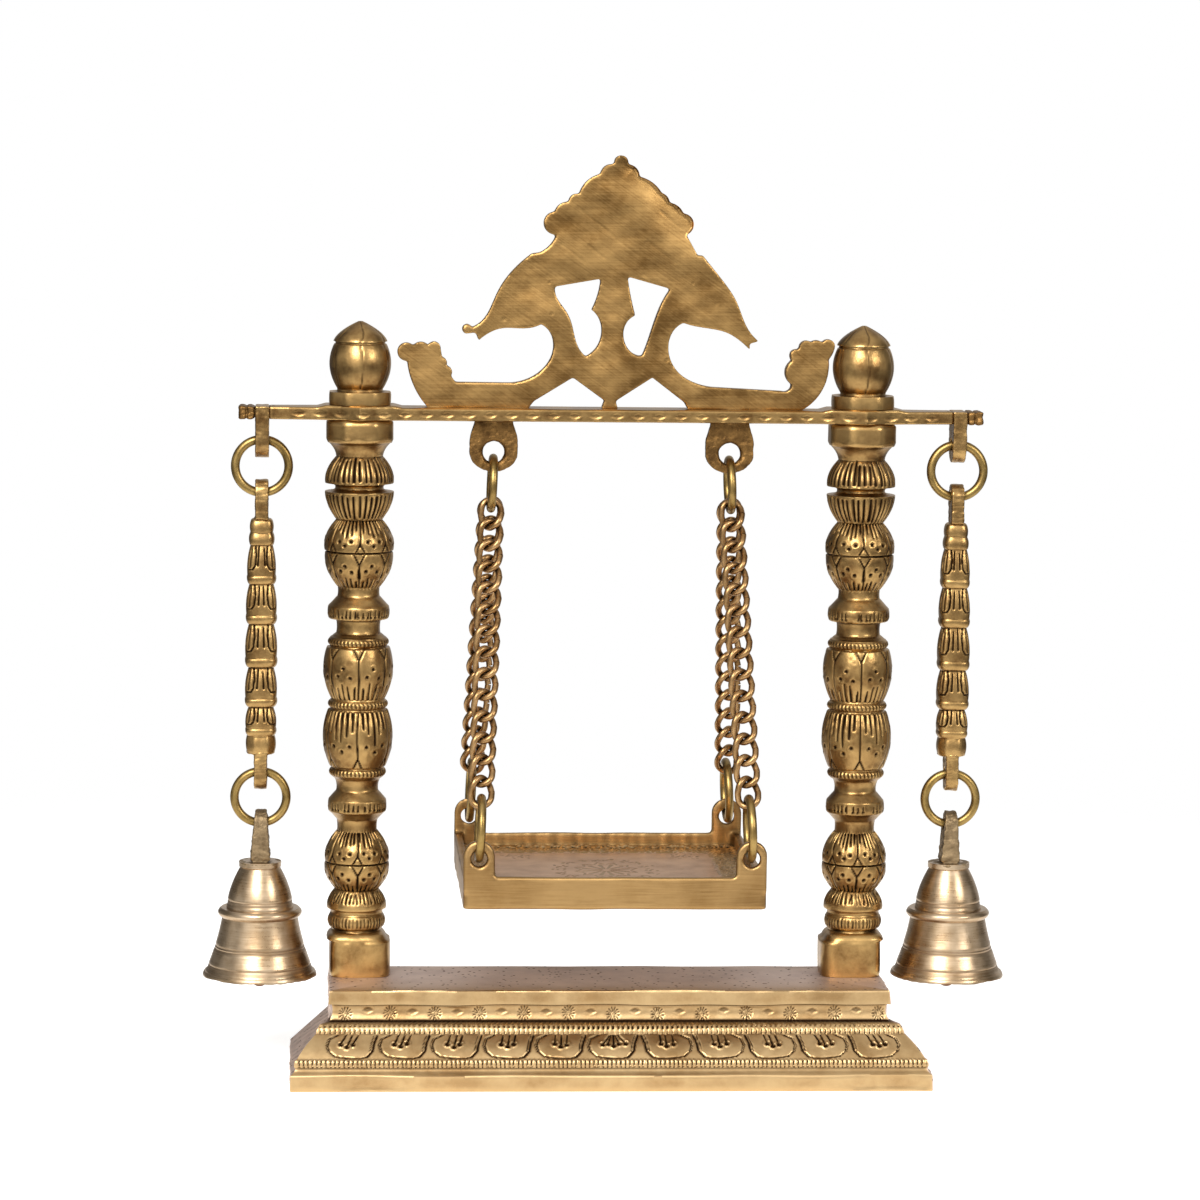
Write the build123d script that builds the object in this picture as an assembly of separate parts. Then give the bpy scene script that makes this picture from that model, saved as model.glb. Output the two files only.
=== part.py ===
from build123d import *
import math
import os

# Jhoola: a brass temple swing. A crossbar on two turned pillars carries a crest, a seat on
# four chains, and a bell on a bead bar at each end. All sizes are in millimetres.
# Origin: on the floor, midway between the pillars. +Z is up, +X to the right, -Y to the front.

SIDES = (("left", -1), ("right", 1))
ENDS = (("front", -1), ("back", 1))

# ---- fits and clearances
fit_gap = 0.05  # round a stud, screw, pin or tenon in its own hole
bolt_gap = 0.2  # round a screw in a clearance hole
neck_gap = 0.2  # round the bar's neck in a strap
rest_gap = 0.1  # between a hanging ring and the rounded rim that it hangs on
link_play = 0.16  # slack between one chain link and the next
wire_cut = 0.1  # butt joint of a bent link
skin = 0.5  # how far a cutting tool runs past the surface that it cuts
flat_left = 0.05  # flat kept beside a full round
bulge_least = 0.05  # a turned step that bulges less than this is straight

# ---- base: a hollow casting, stepped at the front and both ends, flat at the back
base_width = 209.5
base_front = 46.0
base_back = 11.0
base_end_share = 0.85  # run of the end slopes for each unit of run at the front
base_wall = 3.5
base_roof = 4.0
slab_height = 5.4
plate_inset = 15.0
plate_height = 4.6
plate_flare = 0.6  # how far the foot of the top plate stands out past its head
# Steps between the slab and the top plate: height, inset at the foot, inset at the head.
base_steps = (
    (2.1, 0.8, 1.8),  # cove over the slab
    (2.6, 2.0, 2.0),  # lower rope band
    (6.9, 2.4, 9.4),  # petal slope
    (3.0, 10.0, 11.4),  # upper rope band
    (5.8, 15.6, 15.6),  # stamped band
)

# ---- pillars
pillar_inset = 9.0  # axis of a pillar in from the end of the top plate
foot_width = 20.2
foot_height = 11.1
foot_corner = 5.0
foot_head = 14.6  # width at the top of the foot's shoulder
shoulder_height = 3.1
cap_width = 22.0
cap_height = 7.7
cap_corner = 6.0
# Turned steps from the shoulder up: height, radius at the foot, at the middle, at the head.
pillar_steps = (
    (1.6, 7.4, 7.4, 7.4),  # foot neck
    (4.3, 8.8, 9.6, 8.8),  # fluted ring
    (2.0, 9.1, 9.1, 9.1),  # plain ring
    (6.4, 9.75, 9.3, 7.2),  # fluted flare
    (9.2, 7.2, 9.9, 10.6),  # lower lotus, bowl
    (10.4, 10.4, 9.4, 6.5),  # lower lotus, dome
    (4.7, 6.5, 6.5, 6.5),  # neck
    (8.6, 8.9, 9.65, 8.9),  # notched ring
    (4.4, 7.0, 7.0, 7.0),  # neck
    (3.9, 9.0, 9.45, 9.0),  # beaded ring
    (18.9, 9.3, 11.6, 10.0),  # lower bulb
    (3.8, 9.6, 10.0, 9.6),  # beaded ring
    (17.0, 8.8, 11.4, 10.6),  # upper bulb
    (3.3, 9.8, 10.2, 9.8),  # beaded ring
    (6.1, 7.2, 7.2, 7.2),  # neck
    (7.1, 9.5, 10.2, 9.5),  # notched ring
    (3.5, 6.8, 6.8, 6.8),  # neck
    (11.6, 7.1, 10.3, 11.3),  # upper lotus, bowl
    (10.4, 11.4, 10.3, 7.4),  # upper lotus, dome
    (9.3, 7.4, 10.3, 11.4),  # fluted bowl
    (2.7, 8.1, 8.1, 8.1),  # neck
    (8.9, 11.3, 10.7, 7.6),  # fluted dome
    (4.6, 7.7, 9.0, 10.4),  # swell under the cap
)

# ---- crossbar
bar_thickness = 4.2
bar_depth = 15.0
bar_end_depth = 9.5
collar_radius = 12.4
collar_height = 4.9
neck_depth = 8.0
neck_height = 2.4

# ---- straps and knobs at the ends of the bar
strap_thickness = 4.5
strap_half_depth = 5.9
strap_hole = 4.2
strap_hole_drop = 6.95  # centre of the hole below the underside of the bar
strap_crown = 1.6  # metal over the bar's neck
knob_length = 5.2
knob_depth = 10.5
knob_height = 6.4
knob_tenon = 3.0  # how far the neck runs into the knob
knob_round = 0.87  # radius on the edges of the knob
knob_notch_width = 1.04
knob_notch_depth = 0.5

# ---- fasteners
stud_diameter = 5.0
stud_into_pillar = 14.0
stud_into_finial = 11.0
screw_diameter = 5.0
screw_head_diameter = 8.5
screw_head_height = 3.2
screw_into_pillar = 13.0
screw_slot = 1.2
washer_diameter = 10.0
washer_height = 1.0
washer_hole = 5.4
screw_seat_depth = 9.0  # metal between the washer and the top of the base
screw_boss_radius = 8.0
counterbore_gap = 0.3

# ---- finials
finial_collar_width = 20.3
finial_collar_height = 4.3
finial_collar_corner = 5.5
# Turned steps: height, radius at the foot, at the middle, at the head.
finial_steps = (
    (1.0, 7.5, 7.5, 7.5),  # neck
    (14.6, 7.6, 10.1, 8.6),  # bud
    (0.8, 8.2, 8.2, 8.2),  # groove
    (6.6, 8.9, 6.2, 0.6),  # pointed cap
)

# ---- crest: a flat casting that stands on the bar
crest_thickness = 4.5
crest_room = 9.7  # from the tip of the right tail to the axis of its pillar
crest_tenon_gap = 5.0  # crest tenon outside the tenon of a swing eye
crest_tenon_diameter = 3.0
crest_tenon_length = 3.0
# Stretches of the outline, drawn from the bar's top in the middle of the bar, and widened
# or narrowed to the room between the finials.
# Two points make a straight edge, three an arc, and more a smooth curve.
crest_outline = (
    ((-60.9, 0.0), (-65.3, 6.5), (-67.7, 15.1)),  # back of the left tail
    ((-67.7, 15.1), (-70.9, 18.4), (-65.7, 20.1)),
    ((-65.7, 20.1), (-63.3, 21.4), (-60.8, 20.3)),
    ((-60.8, 20.3), (-58.5, 21.5), (-56.7, 19.2)),
    ((-56.7, 19.2), (-56.2, 16.4)),
    ((-56.2, 16.4), (-54.7, 15.3), (-54.9, 13.6)),
    ((-54.9, 13.6), (-53.0, 12.3), (-53.3, 10.4)),
    ((-53.3, 10.4), (-51.8, 8.3)),
    ((-51.8, 8.3), (-35.3, 8.2)),
    ((-35.3, 8.2), (-28.3, 9.4), (-23.1, 12.8), (-20.0, 18.0), (-20.3, 23.8), (-23.9, 27.5)),
    ((-23.9, 27.5), (-31.5, 26.1), (-37.1, 26.0), (-41.3, 24.3), (-44.3, 22.0)),
    ((-44.3, 22.0), (-45.3, 24.6)),
    ((-45.3, 24.6), (-48.6, 24.2)),
    ((-48.6, 24.2), (-49.7, 25.4), (-46.6, 26.3)),  # beak
    ((-46.6, 26.3), (-41.4, 30.9), (-39.3, 35.5), (-36.8, 40.5), (-33.2, 45.2), (-27.0, 50.7)),
    ((-27.0, 50.7), (-24.6, 51.0)),
    ((-24.6, 51.0), (-21.0, 53.7), (-19.2, 56.9)),
    ((-19.2, 56.9), (-23.3, 61.0), (-19.8, 64.4)),  # lobes of the fan, left side
    ((-19.8, 64.4), (-18.5, 66.5), (-15.2, 67.7)),
    ((-15.2, 67.7), (-14.1, 69.9), (-11.9, 70.2)),
    ((-11.9, 70.2), (-9.4, 74.4), (-4.9, 76.9)),
    ((-4.9, 76.9), (-3.2, 79.6), (-0.3, 80.0)),
    ((-0.3, 80.0), (2.2, 83.0), (4.1, 80.1)),  # apex
    ((4.1, 80.1), (6.6, 79.2), (7.9, 76.2)),  # lobes of the fan, right side
    ((7.9, 76.2), (12.2, 74.3), (15.3, 70.9)),
    ((15.3, 70.9), (17.1, 69.8), (17.9, 67.8)),
    ((17.9, 67.8), (20.7, 66.7), (22.5, 64.3)),
    ((22.5, 64.3), (25.9, 61.5), (23.6, 57.3)),
    ((23.6, 57.3), (27.4, 50.6)),
    ((27.4, 50.6), (29.1, 50.6)),
    ((29.1, 50.6), (35.6, 42.7), (40.4, 35.7), (43.6, 28.0), (48.0, 22.6)),
    ((48.0, 22.6), (44.9, 21.7)),
    ((44.9, 21.7), (45.2, 19.7)),
    ((45.2, 19.7), (41.4, 23.0), (36.8, 25.5), (32.9, 26.4), (23.0, 28.4)),
    ((23.0, 28.4), (18.9, 24.2), (18.4, 18.0), (21.6, 12.1), (26.8, 8.8), (33.0, 7.3)),
    ((33.0, 7.3), (56.0, 6.2)),
    ((56.0, 6.2), (58.4, 6.7), (59.0, 8.5)),
    ((59.0, 8.5), (56.9, 12.6), (59.1, 16.3)),  # right tail
    ((59.1, 16.3), (59.2, 19.6), (61.6, 19.8)),
    ((61.6, 19.8), (62.6, 22.6), (65.4, 22.4)),
    ((65.4, 22.4), (67.2, 23.1), (69.1, 22.3)),
    ((69.1, 22.3), (71.8, 23.3), (73.3, 21.4)),
    ((73.3, 21.4), (72.6, 18.8), (71.3, 16.8)),
    ((71.3, 16.8), (69.8, 7.6), (62.8, 0.0)),
    ((62.8, 0.0), (24.9, 0.0)),
    ((24.9, 0.0), (23.7, 2.2)),
    ((23.7, 2.2), (13.0, 10.3)),
    ((13.0, 10.3), (1.0, 2.5)),
    ((1.0, 2.5), (1.8, 0.0)),  # middle foot
    ((1.8, 0.0), (-3.7, 0.0)),
    ((-3.7, 0.0), (-2.7, 2.6)),
    ((-2.7, 2.6), (-13.2, 10.1)),
    ((-13.2, 10.1), (-26.0, 2.2)),
    ((-26.0, 2.2), (-27.6, 0.0)),
    ((-27.6, 0.0), (-60.9, 0.0)),
)
crest_windows = (
    (
        ((-19.4, 39.9), (-4.4, 42.6)),
        ((-4.4, 42.6), (-5.3, 37.4), (-7.3, 32.4)),
        ((-7.3, 32.4), (-4.2, 28.0), (-4.3, 22.6), (-9.0, 17.1)),
        ((-9.0, 17.1), (-12.3, 22.0), (-13.7, 27.6), (-15.5, 31.7), (-18.6, 36.0), (-19.4, 39.9)),
    ),
    (
        ((4.4, 43.4), (18.6, 39.5)),
        ((18.6, 39.5), (13.9, 30.2), (11.6, 23.0), (9.5, 17.4)),
        ((9.5, 17.4), (6.0, 18.6), (3.3, 23.8), (7.1, 30.7)),
        ((7.1, 30.7), (5.9, 35.4), (4.4, 43.4)),
    ),
)

# ---- swing eyes under the bar, and the rings in them
chain_spread = 5.2  # a lug of the seat further out than the swing eye over it
eye_hole = 7.0
eye_width = 15.9
eye_thickness = 3.0
eye_rim = 3.0
eye_drop = 10.5  # centre of the hole below the underside of the bar
eye_tenon_diameter = 4.0
eye_tenon_length = 3.4
swing_ring_wire = 2.8
swing_ring_outer = 19.5

# ---- chains
chain_links = 14
link_wire = 2.1
link_inner_length = 7.35
link_inner_width = 4.75
link_corner = 3.0  # bend radius at the wire's centre
link_side_bend = 5.0  # bend radius of the long sides where the twist crosses
link_twist = 40.0  # degrees each way from the middle of the link
chain_turn = 20.0  # degrees from the first link to the last, so that both lie across their rings
seat_ring_wire = 2.8
seat_ring_outer = 22.4

# ---- seat
seat_width = 98.5
seat_depth = 90.5
seat_wall = 2.7
seat_height = 10.5
seat_floor_top = 5.6
seat_floor = 3.4
seat_corner = 2.0
panel_margin = 9.0  # from the wall to the sunk panel in the floor
panel_sink = 0.5
lug_width = 10.1
lug_height = 22.4
lug_hole_height = 16.5
lug_hole = 5.4
lug_slack = 0.2  # the ring's wire rests this much above the middle of the hole

# ---- bells and what they hang on
hanger_reach = 32.0  # hanger outside the axis of its pillar
upper_ring_wire = 2.9
upper_ring_outer = 20.4
lower_ring_wire = 2.85
lower_ring_outer = 20.0
plate_thickness = 4.3
plate_half_width = 4.45
plate_hole = 4.2
# Bead bar from the upper plate down: height, radius at the foot, at the middle, at the head.
upper_plate_height = 13.0
bead_steps = (
    (4.5, 3.9, 4.0, 3.2),  # upper collar
    (4.1, 4.2, 4.4, 3.6),  # lower collar
    (12.9, 3.4, 4.95, 3.5),  # five buds
    (13.2, 3.6, 5.2, 3.7),
    (14.3, 3.7, 5.5, 3.8),
    (13.2, 3.7, 5.45, 3.8),
    (9.6, 3.9, 5.3, 3.9),
    (6.1, 4.6, 5.15, 4.4),  # end collar
)
lower_plate_height = 12.0
stem_hole_lift = 1.4  # lower hole above the centre of its plate's round end
bell_mouth_drop = 50.9  # bell's lip below the hole in its crown
# Outside of the bell from the lip up: height, radius at the foot, at the middle, at the head.
bell_steps = (
    (2.7, 18.95, 18.5, 17.3),  # lip
    (16.9, 17.1, 13.8, 12.5),  # waist
    (3.0, 12.9, 13.9, 12.9),  # ring
    (13.8, 11.1, 9.6, 6.4),  # shoulder
    (1.7, 6.95, 6.95, 6.95),  # disc
)
# Inside of the bell.
bell_hollow_steps = (
    (20.0, 16.9, 12.1, 10.7),
    (11.0, 9.3, 7.8, 4.2),
)
bell_lug_thickness = 2.0
bell_lug_width = 5.0
bell_lug_hole = 2.6
bell_lug_drop = 3.3  # centre of the lug's hole below the top of the hollow
bell_lug_rim = 1.2
clapper_ring_wire = 1.4
clapper_ring_mid = 2.6
# Clapper from the tip up to its ring: height, radius at the foot, at the middle, at the head.
clapper_steps = (
    (1.4, 0.6, 2.0, 2.4),  # tip
    (1.6, 2.4, 2.2, 1.6),
    (7.4, 1.7, 3.7, 1.5),  # ball
)
clapper_show = 4.1  # tip of the clapper below the bell's lip
clapper_rod_radius = 1.1

# ---- places that follow from the sizes
base_height = slab_height + sum(step[0] for step in base_steps) + plate_height
plate_end = base_width / 2 - plate_inset * base_end_share
pillar_x = plate_end - pillar_inset
hanger_x = pillar_x + hanger_reach
lug_x = seat_width / 2 - lug_width / 2
eye_x = lug_x - chain_spread
crest_tenon_x = eye_x + crest_tenon_gap
crest_drawn_reach = max(x for points in crest_outline for x, _ in points)
crest_stretch = (pillar_x - crest_room) / crest_drawn_reach
shoulder_z = base_height + foot_height
turned_z = shoulder_z + shoulder_height
cap_z = turned_z + sum(step[0] for step in pillar_steps)
bar_z = cap_z + cap_height
bar_top = bar_z + bar_thickness
neck_z = bar_z + (bar_thickness - neck_height) / 2
strap_hole_z = bar_z - strap_hole_drop
finial_z = bar_z + collar_height
eye_hole_z = bar_z - eye_drop
swing_ring_mid = (swing_ring_outer - swing_ring_wire) / 2
swing_ring_inner = swing_ring_mid - swing_ring_wire / 2
seat_ring_mid = (seat_ring_outer - seat_ring_wire) / 2
seat_ring_inner = seat_ring_mid - seat_ring_wire / 2
swing_ring_top = eye_hole_z - eye_hole / 2 + rest_gap + swing_ring_wire / 2
link_pitch = link_inner_length - link_play
chain_reach = swing_ring_inner + chain_links * link_pitch - link_play
hang_reach = chain_reach + seat_ring_inner + seat_ring_mid
lug_y = seat_depth / 2 - seat_wall / 2
hang_depth = math.sqrt(hang_reach**2 - lug_y**2)
hang_lean = math.asin((lug_x - eye_x) / (swing_ring_mid + hang_depth))
swing_ring_x = eye_x + swing_ring_mid * math.sin(hang_lean)
swing_ring_z = swing_ring_top - swing_ring_mid * math.cos(hang_lean)
seat_pivot_z = swing_ring_z - hang_depth * math.cos(hang_lean)
seat_z = seat_pivot_z - lug_slack - lug_hole_height
upper_ring_mid = (upper_ring_outer - upper_ring_wire) / 2
lower_ring_mid = (lower_ring_outer - lower_ring_wire) / 2
upper_ring_z = strap_hole_z - upper_ring_mid
bead_hole_z = upper_ring_z - upper_ring_mid
bead_top = bead_hole_z + plate_half_width
bead_low_z = bead_top - upper_plate_height - sum(step[0] for step in bead_steps)
bead_foot = bead_low_z - lower_plate_height
stem_hole_z = bead_foot + plate_half_width + stem_hole_lift
lower_ring_z = stem_hole_z - lower_ring_mid
crown_hole_z = lower_ring_z - lower_ring_mid
bell_z = crown_hole_z - bell_mouth_drop
bell_top = bell_z + sum(step[0] for step in bell_steps)
hollow_top = bell_z + sum(step[0] for step in bell_hollow_steps)
bell_lug_z = hollow_top - bell_lug_drop
clapper_ring_z = bell_lug_z - clapper_ring_mid


def outline(stretches, widen):
    """Closed edge loop: two points give a line, three an arc, more a smooth curve."""
    edges = []
    for drawn in stretches:
        points = [(x * widen, y) for x, y in drawn]
        if len(points) == 2:
            edges.append(Line(*points))
        elif len(points) == 3:
            edges.append(ThreePointArc(*points))
        else:
            edges.append(Spline(*points))
    return edges


def turned(steps, foot_z):
    """Solid of revolution about Z: turned steps stacked from foot_z up."""
    here = (0.0, foot_z)
    edges = []
    for height, foot, middle, head in steps:
        low = here[1]
        start = (foot, low)
        end = (head, low + height)
        if start != here:
            edges.append(Line(here, start))
        if abs(middle - (foot + head) / 2) < bulge_least:
            edges.append(Line(start, end))
        else:
            edges.append(ThreePointArc(start, (middle, low + height / 2), end))
        here = end
    edges.append(Line(here, (0.0, here[1])))
    edges.append(Line((0.0, here[1]), (0.0, foot_z)))
    face = make_face(edges)
    return revolve(Plane.XZ * face, Axis.Z)


def rod(radius, height, axis="Z"):
    """Round bar centred on the origin along one axis."""
    turns = {"X": (0, 90, 0), "Y": (90, 0, 0), "Z": (0, 0, 0)}
    return Rot(*turns[axis]) * Cylinder(radius, height)


def upright(radius, low, high):
    """Round bar along Z between two heights."""
    return Pos(0, 0, (low + high) / 2) * Cylinder(radius, high - low)


def ring(middle_radius, wire):
    """Closed wire ring in the XZ plane, centred on the origin."""
    return Rot(90, 0, 0) * Torus(middle_radius, wire / 2)


def soft_square(width, depth, corner):
    """Rectangle with its corners rounded off."""
    return RectangleRounded(width, depth, corner)


def base_outline(front_inset, back_inset, z):
    """Outline of the base at one height, drawn in at the front, the ends and the back."""
    depth = base_front + base_back - front_inset - back_inset
    middle = (base_back - back_inset - base_front + front_inset) / 2
    width = base_width - 2 * front_inset * base_end_share
    return Pos(0, middle, z) * Rectangle(width, depth)


def base_stack(front_more, back_more, drop):
    """Stepped body of the base, drawn in and lowered so that it can also cut the hollow."""
    steps = ((slab_height, 0.0, 0.0),) + base_steps
    steps += ((plate_height, plate_inset - plate_flare, plate_inset),)
    z = -drop
    body = Part()
    for height, foot, head in steps:
        low = base_outline(foot + front_more, back_more, z)
        high = base_outline(head + front_more, back_more, z + height)
        body += loft([low, high], ruled=True)
        z += height
    return body


def make_base():
    """Hollow base with a screw boss and a counterbored hole under each pillar."""
    body = base_stack(0.0, 0.0, 0.0) - base_stack(base_wall, base_wall, base_roof)
    seat = base_height - screw_seat_depth
    for _, side in SIDES:
        spot = Pos(side * pillar_x, 0, 0)
        body += spot * upright(screw_boss_radius, seat - screw_head_height, base_height - base_roof)
        body -= spot * upright(screw_diameter / 2 + bolt_gap, 0, base_height + skin)
        body -= spot * upright(washer_diameter / 2 + counterbore_gap, -skin, seat)
    return body


def make_pillar(side):
    """Turned pillar with a block foot flush with the end of the base, and a block cap."""
    shift = plate_end - pillar_x - foot_width / 2
    foot = extrude(soft_square(foot_width, foot_width, foot_corner), foot_height)
    foot = Pos(side * shift, 0, base_height) * foot
    low = Pos(side * shift, 0, shoulder_z) * soft_square(foot_width, foot_width, foot_corner)
    high = Pos(0, 0, turned_z) * soft_square(foot_head, foot_head, foot_head / 2 - flat_left)
    shoulder = loft([low, high])
    cap = extrude(soft_square(cap_width, cap_width, cap_corner), cap_height)
    body = foot + shoulder + turned(pillar_steps, turned_z) + Pos(0, 0, cap_z) * cap
    screw_top = base_height + screw_into_pillar + skin
    body -= upright(screw_diameter / 2 + fit_gap, base_height - skin, screw_top)
    body -= upright(stud_diameter / 2 + fit_gap, bar_z - stud_into_pillar - skin, bar_z + skin)
    return Pos(side * pillar_x, 0, 0) * body


def make_crossbar():
    """Flat bar with a collar over each pillar and a narrow neck at each end."""
    plan = [
        (0, bar_depth / 2),
        (pillar_x, bar_depth / 2),
        (hanger_x - strap_thickness / 2 - neck_gap, bar_end_depth / 2),
    ]
    points = plan + [(x, -y) for x, y in reversed(plan)]
    half = extrude(make_face(Polyline(*points, close=True)), bar_thickness)
    body = half + mirror(half, Plane.YZ)
    neck_half = hanger_x + strap_thickness / 2 + neck_gap + knob_tenon
    neck = Pos(0, 0, neck_z - bar_z + neck_height / 2) * Box(2 * neck_half, neck_depth, neck_height)
    body += neck
    for _, side in SIDES:
        spot = Pos(side * pillar_x, 0, 0)
        body += spot * upright(collar_radius, 0, collar_height)
        body -= spot * upright(stud_diameter / 2 + fit_gap, -skin, collar_height + skin)
        for x, diameter in ((eye_x, eye_tenon_diameter), (crest_tenon_x, crest_tenon_diameter)):
            hole = upright(diameter / 2 + fit_gap, -skin, bar_thickness + skin)
            body -= Pos(side * x, 0, 0) * hole
    return Pos(0, 0, bar_z) * body


def make_knob(side):
    """Block that closes the end of the bar, with a notch round it and a pocket for the neck."""
    strap_out = hanger_x + strap_thickness / 2 + neck_gap
    block = Box(knob_length, knob_depth, knob_height)
    block = fillet(block.edges(), knob_round)
    notch = Box(knob_notch_width, knob_depth + skin, knob_height + skin)
    core_depth = knob_depth - 2 * knob_notch_depth
    core_height = knob_height - 2 * knob_notch_depth
    notch -= Box(knob_notch_width, core_depth, core_height)
    block -= notch
    pocket_depth = knob_tenon + fit_gap
    pocket = Box(pocket_depth + skin, neck_depth + 2 * fit_gap, neck_height + 2 * fit_gap)
    block -= Pos(side * (pocket_depth - skin - knob_length) / 2, 0, 0) * pocket
    middle = strap_out + knob_length / 2
    return Pos(side * middle, 0, bar_z + bar_thickness / 2) * block


def eyed_plate(half_width, low, high, hole_z, hole, thickness):
    """Plate across X between two heights, round at the end next to its hole."""
    end_z = low + half_width if hole_z - low < high - hole_z else high - half_width
    square_low = end_z if hole_z - low < high - hole_z else low
    square_high = high if hole_z - low < high - hole_z else end_z
    plate = Pos(0, 0, end_z) * rod(half_width, thickness, "X")
    middle = (square_low + square_high) / 2
    plate += Pos(0, 0, middle) * Box(thickness, 2 * half_width, square_high - square_low)
    return plate - Pos(0, 0, hole_z) * rod(hole / 2, thickness + skin, "X")


def make_strap(side):
    """Closed strap round the bar's neck, with a round hole under the bar for the ring."""
    top = neck_z + neck_height + neck_gap + strap_crown
    low = strap_hole_z - strap_half_depth
    body = eyed_plate(strap_half_depth, low, top, strap_hole_z, strap_hole, strap_thickness)
    window = Box(strap_thickness + skin, neck_depth + 2 * neck_gap, neck_height + 2 * neck_gap)
    body -= Pos(0, 0, neck_z + neck_height / 2) * window
    return Pos(side * hanger_x, 0, 0) * body


def make_studs():
    """Studs that tie each finial and the bar to a pillar."""
    low = bar_z - stud_into_pillar
    high = finial_z + stud_into_finial
    studs = Part()
    for _, side in SIDES:
        studs += Pos(side * pillar_x, 0, 0) * upright(stud_diameter / 2, low, high)
    return studs


def make_screws():
    """Slotted screws from under the base into the pillars."""
    seat = base_height - screw_seat_depth - washer_height
    screws = Part()
    for _, side in SIDES:
        screw = upright(screw_diameter / 2, seat - screw_head_height, base_height + screw_into_pillar)
        screw += upright(screw_head_diameter / 2, seat - screw_head_height, seat)
        slot = Box(screw_head_diameter + skin, screw_slot, screw_head_height)
        screw -= Pos(0, 0, seat - screw_head_height) * slot
        screws += Pos(side * pillar_x, 0, 0) * screw
    return screws


def make_washers():
    """Washers under the heads of the base screws."""
    seat = base_height - screw_seat_depth
    washers = Part()
    for _, side in SIDES:
        washer = upright(washer_diameter / 2, seat - washer_height, seat)
        washer -= upright(washer_hole / 2, seat - washer_height - skin, seat + skin)
        washers += Pos(side * pillar_x, 0, 0) * washer
    return washers


def make_finial(side):
    """Lotus bud on a square collar, bored for its stud."""
    plan = soft_square(finial_collar_width, finial_collar_width, finial_collar_corner)
    collar = extrude(plan, finial_collar_height)
    body = Pos(0, 0, finial_z) * collar + turned(finial_steps, finial_z + finial_collar_height)
    body -= upright(stud_diameter / 2 + fit_gap, finial_z - skin, finial_z + stud_into_finial + skin)
    return Pos(side * pillar_x, 0, 0) * body


def make_crest():
    """Pierced plate that stands on the bar on two tenons."""
    face = make_face(outline(crest_outline, crest_stretch))
    for window in crest_windows:
        face -= make_face(outline(window, crest_stretch))
    plate = extrude(Plane.XZ * face, crest_thickness / 2, both=True)
    for _, side in SIDES:
        tenon = upright(crest_tenon_diameter / 2, -crest_tenon_length, skin)
        plate += Pos(side * crest_tenon_x, 0, 0) * tenon
    return Pos(0, 0, bar_top) * plate


def make_eye(side):
    """Pierced lug under the bar, with a rounded rim for the swing ring to turn on."""
    shape = Rectangle(eye_width, eye_drop, align=(Align.CENTER, Align.MIN))
    shape += Ellipse(eye_width / 2, eye_hole / 2 + eye_rim)
    shape -= Circle(eye_hole / 2)
    plate = extrude(Plane.XZ * shape, eye_thickness / 2, both=True)
    rim = plate.edges().filter_by(GeomType.CIRCLE)
    plate = fillet(rim, eye_thickness / 2 - flat_left)
    plate += upright(eye_tenon_diameter / 2, eye_drop - skin, eye_drop + eye_tenon_length)
    return Pos(side * eye_x, 0, eye_hole_z) * plate


def chain_plane(side, end):
    """Frame whose Z runs down one chain from the middle of its swing ring."""
    run = Vector(side * hang_depth * math.sin(hang_lean), end * lug_y, -hang_depth * math.cos(hang_lean))
    across = Vector(math.cos(hang_lean), 0, side * math.sin(hang_lean))
    return Plane(origin=(side * swing_ring_x, 0, swing_ring_z), x_dir=across, z_dir=run)


def make_swing_ring(side):
    """Wire ring that hangs in a swing eye and carries two chains."""
    lean = Rot(0, -side * math.degrees(hang_lean), 0)
    loop = lean * Rot(0, 0, 90) * ring(swing_ring_mid, swing_ring_wire)
    return Pos(side * swing_ring_x, 0, swing_ring_z) * loop


def make_link():
    """One twisted link about Z: four rounded corners, with the long sides bent round the twist."""
    half = (link_inner_width + link_wire) / 2
    top = (link_inner_length + link_wire) / 2
    across = half * math.cos(math.radians(link_twist))
    lean = half * math.sin(math.radians(link_twist))
    corners = [
        (half, 0, wire_cut / 2),
        (across, lean, top),
        (-across, -lean, top),
        (-half, 0, 0),
        (-across, lean, -top),
        (across, -lean, -top),
        (half, 0, -wire_cut / 2),
    ]
    bends = [link_corner, link_corner, link_side_bend, link_corner, link_corner]
    path = FilletPolyline(*corners, radius=bends)
    start = Plane(origin=path @ 0, z_dir=path % 0)
    return sweep(start * Circle(link_wire / 2), path=path)


def make_chain(side, end, link):
    """Row of separate links from the swing ring to the seat ring."""
    place = chain_plane(side, end)
    first = swing_ring_inner - link_play + link_inner_length / 2
    links = []
    for n in range(chain_links):
        turn = chain_turn / 2 - chain_turn * n / (chain_links - 1)
        links.append(place.location * Pos(0, 0, first + n * link_pitch) * Rot(0, 0, turn) * link)
    return Compound(children=links)


def make_seat_ring(side, end):
    """Wire ring between the end of a chain and a lug of the seat."""
    place = chain_plane(side, end)
    middle = chain_reach + seat_ring_inner
    return place.location * Pos(0, 0, middle) * Rot(0, 0, 90) * ring(seat_ring_mid, seat_ring_wire)


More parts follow.
